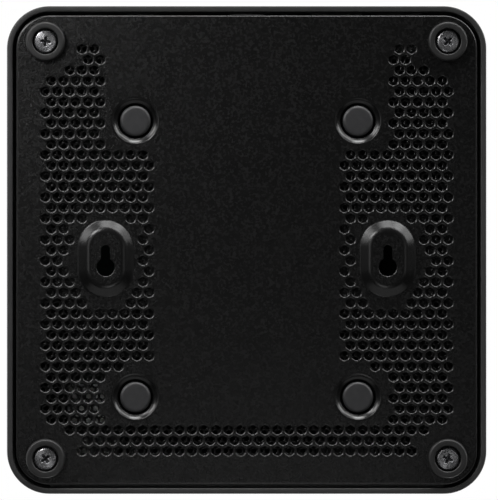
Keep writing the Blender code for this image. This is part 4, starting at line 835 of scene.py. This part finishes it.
# Behind the vents lies a dust screen: thin black sheet with much finer hexagonal holes, bonded to the
# back of the cover wherever there are vents. Its small edges glint through the larger holes.
SCREEN_PITCH = 0.001951
SCREEN_ROWS = 36
SCREEN_COLUMNS = 32
SCREEN_HOLE = 0.00062
SCREEN_LIP = 0.00020
SCREEN_THICK = 0.00035
SCREEN_REACH = 0.0019
SCREEN_DISH_CLEAR = 0.0087
SCREEN_BOSS_CLEAR = 0.0095
HUNDREDTHS = 1e5
_, places = lattice(SCREEN_PITCH, SCREEN_ROWS, SCREEN_COLUMNS, 1)
cells = places[(distance(places, vents) < SCREEN_REACH) & (boss_distance(places) > SCREEN_BOSS_CLEAR)
               & (distance(places, dish_middles) > SCREEN_DISH_CLEAR)]
cell_profile = np.array(((SCREEN_PITCH / 2, 0), (SCREEN_HOLE + SCREEN_LIP, 0),
                         (SCREEN_HOLE + 0.35 * SCREEN_LIP, 0.4 * SCREEN_LIP), (SCREEN_HOLE, SCREEN_LIP),
                         (SCREEN_HOLE, SCREEN_THICK), (SCREEN_PITCH / 2, SCREEN_THICK)))
cell_rings = hole_rings(cells, hexagon, cell_profile + (0, cover_z + SHEET))

# A cell's side that no other cell shares is on the screen's edge, and is closed from face to face. Sides
# are shared if their middles round to the same hundredths of a millimetre.
side_middles = ((cell_rings[:, 0, :-1] + cell_rings[:, 0, 1:]) / 2).reshape(-1, 3)
_, which, times = np.unique((side_middles * HUNDREDTHS).round().astype(int), axis=0, return_inverse=True,
                            return_counts=True)
sides = np.stack((cell_rings[:, (0, -1), :-1], cell_rings[:, (0, -1), 1:]), 3)
edge_sides = np.moveaxis(sides, 2, 1).reshape(-1, 2, 2, 3)[times[which.ravel()] == 1]
screen_paint = Surface("screen_paint", 0.3)
screen_paint.shader.inputs["Specular IOR Level"].default_value = 0.36
screen_paint.colour(0.0006, 0.003, 0.006, (0.35, 0.65))
screen_paint.feed("Roughness", screen_paint.on_flats(0.0012),
                  (0, 0.16), (0.15, 0.16), (0.3, 0.22), (0.7, 0.3))
make_piece("dust_screen", screen_paint,
           [strips(cell_rings[:, :2], False), strips(cell_rings[:, 1:5]), strips(cell_rings[:, 4:], False),
            strips(edge_sides, False)])


# Each wall-mount boss is a plate drawn out to a rounded plateau, with a keyhole that a screw head enters
# at its round end and then slides along. Its flange lies behind the cover and closes the vents near it.
BOSS_RISE = 0.0016
BOSS_FOOT_OUT = 0.00015
BOSS_LEAN = np.radians(31.5)
BOSS_FOOT_ROUND = 0.0008
BOSS_HEAD_ROUND = 0.0030
KEYHOLE_ENTRY = 0.0025
KEYHOLE_SLOT = 0.0012
KEYHOLE_TRAVEL = 0.0049
KEYHOLE_LIP = 0.00025
FLANGE_HALF = 0.0142, 0.0164
FLANGE_CORNER = 0.0125
FLANGE_THICK = 0.0006


def keyhole_outline(out, steps):
    """A slot's half round, its straight sides, and the larger arc of the entry hole, widened by out."""
    narrow, wide = KEYHOLE_SLOT + out, KEYHOLE_ENTRY + out
    meet = np.arcsin(narrow / wide)
    small = np.linspace(np.pi, 2 * np.pi, steps)
    large = np.linspace(meet - np.pi / 2, 1.5 * np.pi - meet, 2 * steps)
    slot_end = np.stack((narrow * np.cos(small), narrow * np.sin(small) - KEYHOLE_TRAVEL / 2), -1)
    entry = np.stack((wide * np.cos(large), wide * np.sin(large) + KEYHOLE_TRAVEL / 2), -1)
    return np.concatenate((slot_end, entry))


def drawn_step(steps):
    """A boss's wall in section, as (distance in, height): a hollow arc at its foot turns it up to the lean,
    a straight flank follows, and a round arc at its head turns it level at the full rise."""
    turn = np.linspace(0, BOSS_LEAN, steps)
    arc = np.stack((np.sin(turn), 1 - np.cos(turn)), -1)
    foot, head = arc * BOSS_FOOT_ROUND, arc[::-1] * BOSS_HEAD_ROUND
    flank = BOSS_RISE - foot[-1, 1] - head[0, 1]
    width = foot[-1, 0] + head[0, 0] + flank / np.tan(BOSS_LEAN)
    return np.concatenate((foot, (width, BOSS_RISE) - head))


boss_wall = (BOSS_FOOT_OUT, cover_z) - drawn_step(9)
keyhole_roll = quarter_round((KEYHOLE_LIP, 0), (0, KEYHOLE_LIP), 3, True, (0, SHEET))
flange_z = cover_z + SHEET + SCREEN_THICK + FIT
for side, middle, window in zip(SIDES, boss_middles, boss_windows):
    outer = rounded_loops(middle, BOSS_HALF, BOSS_HALF[0], boss_wall, BOSS_STEPS)
    inner = outer + (0, 0, SHEET)
    plateau_z = outer[-1, 0, 2]
    hole = np.stack([at_level(keyhole_outline(out, 16) + middle, plateau_z + z) for out, z in keyhole_roll])
    flange = rounded_outline(*FLANGE_HALF, FLANGE_CORNER, BOSS_STEPS) + middle
    levels = ((window, cover_z), (window, flange_z), (flange, flange_z), (flange, flange_z + FLANGE_THICK),
              (inner[0], flange_z + FLANGE_THICK))
    flange_loops = np.stack((outer[0], *(at_level(loop[:, :2], z) for loop, z in levels), inner[0]))
    patches = [loft(outer), loft(hole), flat_area([outer[-1], hole[0]], plateau_z), loft(inner),
               flat_area([inner[-1], hole[-1]], plateau_z + SHEET), loft(flange_loops, False)]
    make_piece("keyhole_boss_" + side, cover_coat, patches, ["keyhole_plate_" + side])


# Each foot is a black rubber ring pressed into the cover's corner. Inside it sits the plated steel
# screw that holds the cover, a pan head with a cross recess.
FOOT_BORE = 0.0036
FOOT_ROUND = 0.0005
FOOT_INNER_ROUND = 0.0003
FOOT_DRAFT = 0.00015


def turned_size(node):
    """A turned node's radius and its lower and upper height."""
    low, high = box_of(node)
    return (high[0] - low[0]) / 2, low[2], high[2]


foot_radius, foot_z, _ = turned_size("foot_front_left")
foot_side = foot_radius - FOOT_DRAFT
foot_profile = np.vstack((
    (FOOT_BORE, cover_z),
    quarter_round((FOOT_BORE, foot_z + FOOT_INNER_ROUND), (FOOT_BORE + FOOT_INNER_ROUND, foot_z), 5, False),
    quarter_round((foot_side - FOOT_ROUND, foot_z), (foot_side, foot_z + FOOT_ROUND), 6, True,
                  (foot_radius, cover_z), (FOOT_BORE, cover_z))))
rubber = Surface("foot_rubber", 0.62).colour(0.002, 0.005, 0.008).sheen((0.0005, 3), 0.42, 0.55, 0.00002)
for corner, middle in zip(CORNERS, foot_middles):
    make_piece("foot_ring_" + corner, rubber, [loft(turned_rings(middle, foot_profile, 96))],
               ["foot_" + corner])

HEAD_ROUND = 0.0006
HEAD_DOME = 0.00008
HEAD_STEPS = 128
CROSS_HALF_LENGTH = 0.0015
CROSS_HALF_WIDTH = 0.00048
CROSS_END = 0.0004
CROSS_DEPTH = 0.0015
CROSS_TURNS = 0.15, 0.75, 0.95, 0.4
TURNING_PITCH = 0.00034
TURNING_DEPTH = 0.000013
SHANK_RADIUS = 0.0015
SEAT_GAP = 0.0001
screw_radius, screw_face, screw_end = turned_size("cover_screw_front_left")


def smooth_step(value):
    """0 below 0, 1 above 1, and 3 v^2 - 2 v^3 between."""
    value = np.clip(value, 0, 1)
    return value * value * (3 - 2 * value)


def cross_head(turned):
    """A polar grid: a shallow dome, a rounded rim and fine turned ripples, less a cross of V-shaped grooves
    that slope up at their ends."""
    share = np.linspace(0, 1, 64)[:, None]
    radius = share * screw_radius
    x, y = radius * circle(HEAD_STEPS).T[:, None]
    a, b = x * np.cos(turned) + y * np.sin(turned), y * np.cos(turned) - x * np.sin(turned)
    dome = HEAD_DOME * share ** 2
    over_rim = np.clip((radius - screw_radius + HEAD_ROUND) / HEAD_ROUND, 0, 1)
    rim_drop = HEAD_ROUND * (1 - np.sqrt(1 - over_rim ** 2))
    arms = [np.clip(1 - np.abs(across) / CROSS_HALF_WIDTH, 0, 1)
            * smooth_step((CROSS_HALF_LENGTH - np.abs(along)) / CROSS_END)
            for along, across in ((a, b), (b, a))]
    ripples = TURNING_DEPTH * np.cos(2 * np.pi * radius / TURNING_PITCH)
    height = dome + rim_drop + ripples + CROSS_DEPTH * np.maximum(*arms)
    return np.stack((x, y, height + 0 * x), -1)


plating = Surface("screw_plating", 0.34, 0.9).colour((0.0009, 3), (0.26, 0.26, 0.27), (0.40, 0.40, 0.41))
plating.sheen(0.0004, 0.22, 0.34)
plating.bumps(0.0003, 0.00001)
seat_z = cover_z - SEAT_GAP
base_profile = (screw_radius, seat_z), (SHANK_RADIUS, seat_z), (SHANK_RADIUS, screw_end)
for corner, middle, turned in zip(CORNERS, foot_middles, CROSS_TURNS):
    head = cross_head(turned) + (*middle, screw_face)
    base = turned_rings(middle, base_profile, HEAD_STEPS)
    patches = [loft(head), loft(np.concatenate((head[-1:], base))), flat_area(base[-1:], screw_end)]
    make_piece("cross_screw_" + corner, plating, patches, ["cover_screw_" + corner])


# A soft grey rubber plug covers the drive's screw in each dish. It is a moulded disc with a rounded edge,
# pushed in until it sits a little below the cover's face.
PLUG_ROUND = 0.0009
PLUG_EDGE_DEPTH = 0.0008
plug_radius, plug_face, plug_back = turned_size("drive_plug_front_left")
plug_edge = quarter_round((plug_radius - PLUG_ROUND, plug_face),
                          (plug_radius, plug_face + PLUG_EDGE_DEPTH), 8, True,
                          (plug_radius, plug_back), (0, plug_back))
plug_profile = np.vstack(((0, plug_face), (plug_radius - 2 * PLUG_ROUND, plug_face), plug_edge))
plug_rubber = Surface("plug_rubber", 0.5).colour(0.0015, (0.018, 0.018, 0.019), (0.023, 0.023, 0.024))
plug_rubber.sheen((0.0006, 3), 0.36, 0.48, 0.000015)
for corner, middle in zip(CORNERS, dish_middles):
    make_piece("dish_plug_" + corner, plug_rubber,
               [loft(turned_rings(middle, plug_profile, 96))], ["drive_plug_" + corner])


# The floor is a white table top that shows only from above. The lamps below it reach the underside
# through a square window, which a white patch covers for the camera alone, and far off it fades out.
FLOOR_HALF = 1.5
FLOOR_FADE = 0.35, 1.2
FLOOR_WHITE = 0.92, 0.92, 0.92, 1
FLOOR_ROUGHNESS = 0.6
WINDOW_HALF = 0.076
floor_look = Surface("floor_look", FLOOR_ROUGHNESS)
floor_look.shader.inputs["Base Color"].default_value = FLOOR_WHITE
nodes, link = floor_look.nodes, floor_look.link
middle_distance = nodes.new("ShaderNodeVectorMath")
middle_distance.operation = 'LENGTH'
link(floor_look.place, middle_distance.inputs[0])
fade = nodes.new("ShaderNodeMapRange")
fade.interpolation_type = 'SMOOTHSTEP'
fade.inputs["From Min"].default_value, fade.inputs["From Max"].default_value = FLOOR_FADE
link(middle_distance.outputs["Value"], fade.inputs["Value"])
from_below = nodes.new("ShaderNodeNewGeometry").outputs["Backfacing"]
unseen = combined(floor_look.material.node_tree, 'MAXIMUM', fade.outputs["Result"], from_below)
both = nodes.new("ShaderNodeMixShader")
link(unseen, both.inputs["Fac"])
link(floor_look.shader.outputs["BSDF"], both.inputs[1])
link(nodes.new("ShaderNodeBsdfTransparent").outputs["BSDF"], both.inputs[2])
link(both.outputs["Shader"], nodes["Material Output"].inputs["Surface"])


def square_floor(name, *halves):
    """A square at the feet, or a square ring if there are two half widths."""
    turns = np.array([(-1, -1), (1, -1), (1, 1), (-1, 1)])
    points = at_level(np.concatenate([half * turns for half in halves]), 0)
    ring = np.arange(4)
    after = (ring + 1) % 4
    faces = ring[None] if len(halves) == 1 else np.stack((ring, after, after + 4, ring + 4), -1)
    mesh = bpy.data.meshes.new(name)
    mesh.from_pydata(points.tolist(), [], faces.tolist())
    mesh.materials.append(floor_look.material)
    sheet = in_scene(name, mesh)
    return sheet


square_floor("floor", FLOOR_HALF, WINDOW_HALF)
window = square_floor("floor_window", WINDOW_HALF)
for ray_kind in ("visible_glossy", "visible_diffuse", "visible_transmission", "visible_shadow"):
    setattr(window, ray_kind, False)


# The room is dim, so that the lamps shape the object. The camera and upward mirrored rays see it white.
ROOM_STRENGTH = 0.02
SEEN_STRENGTH = 1.0
world = bpy.data.worlds.new("studio")
bpy.context.scene.world = world
world.use_nodes = True
nodes, link = world.node_tree.nodes, world.node_tree.links.new
choose = nodes.new("ShaderNodeMixShader")
for socket, room, strength in ((1, nodes["Background"], ROOM_STRENGTH),
                               (2, nodes.new("ShaderNodeBackground"), SEEN_STRENGTH)):
    room.inputs["Color"].default_value = (1, 1, 1, 1)
    room.inputs["Strength"].default_value = strength
    link(room.outputs["Background"], choose.inputs[socket])
heading = nodes.new("ShaderNodeSeparateXYZ")
link(nodes.new("ShaderNodeTexCoord").outputs["Generated"], heading.inputs["Vector"])
ray = nodes.new("ShaderNodeLightPath").outputs
upward = combined(world.node_tree, 'GREATER_THAN', heading.outputs["Z"], 0)
mirrored = combined(world.node_tree, 'MAXIMUM', ray["Is Glossy Ray"], ray["Is Transmission Ray"])
mirrored_up = combined(world.node_tree, 'MULTIPLY', mirrored, upward)
link(combined(world.node_tree, 'MAXIMUM', ray["Is Camera Ray"], mirrored_up), choose.inputs["Fac"])
link(choose.outputs["Shader"], nodes["World Output"].inputs["Surface"])


# The lamps are soft boxes. Those below light the underside through the floor's window: strips low in front
# for the rolled edges, small weak ones nearer the axis for the flats. Those above light the other sides.
UNDERSIDE = 0, 0, 0
UPPER_SIDES = 0, 0, 0.02


def lamp(name, place, aim, width, height, power):
    """A soft rectangular lamp at a place, turned to face a point."""
    data = bpy.data.lights.new(name, 'AREA')
    data.shape = 'RECTANGLE'
    data.size, data.size_y = width, height
    data.energy = power
    thing = in_scene(name, data)
    thing.location = place
    thing.rotation_euler = (Vector(aim) - Vector(place)).to_track_quat('-Z', 'Y').to_euler()


lamp("front_strip", (0, -1.10, -0.315), UNDERSIDE, 0.60, 0.40, 12)
for side in (-1, 1):
    lamp("front_strip_%+d" % side, (side * 0.95, -0.60, -0.33), UNDERSIDE, 0.60, 0.40, 6)
lamp("left_box", (-0.17, -0.18, -0.24), (-0.04, 0, 0), 0.09, 0.09, 0.45)
lamp("front_right", (0.55, -0.95, -0.50), UNDERSIDE, 0.42, 0.35, 4)
lamp("side_left", (-0.31, -0.06, -0.55), UNDERSIDE, 0.17, 0.17, 0.13)
lamp("side_right", (0.46, 0, -0.75), UNDERSIDE, 0.22, 0.22, 0.09)
lamp("rear_fill", (0, 0.55, -0.28), UNDERSIDE, 1.10, 0.28, 0.42)
lamp("rear_soft", (0, 0.16, -0.25), (0, 0.03, 0), 0.08, 0.08, 0.038)
lamp("top_key", (0.45, -0.55, 1.2), UPPER_SIDES, 0.9, 0.9, 13)
lamp("top_fill", (-0.5, -0.1, 1.2), UPPER_SIDES, 1.0, 1.0, 6)
lamp("rear_box", (0.35, 1.2, 0.6), UPPER_SIDES, 0.8, 0.5, 7)
lamp("right_box", (1.2, -0.1, 0.6), UPPER_SIDES, 0.8, 0.5, 4)
lamp("far_left_box", (-1.2, 0.1, 0.6), UPPER_SIDES, 0.8, 0.5, 4)


# The camera looks straight up at the cover from far below, with the front edge at the top of the picture.
CAMERA_BELOW = 2.5
CAMERA_X = 0.00065
PICTURE_HEIGHT = 0.1387
SENSOR = 36
camera_data = bpy.data.cameras.new("camera")
camera_data.sensor_width = SENSOR
camera_data.lens = SENSOR * CAMERA_BELOW / PICTURE_HEIGHT
camera = in_scene("camera", camera_data)
camera.location = (CAMERA_X, 0, rim_z - CAMERA_BELOW)
camera.rotation_euler = (np.pi, 0, 0)
bpy.context.scene.camera = camera
bpy.context.scene.view_settings.view_transform = 'Standard'
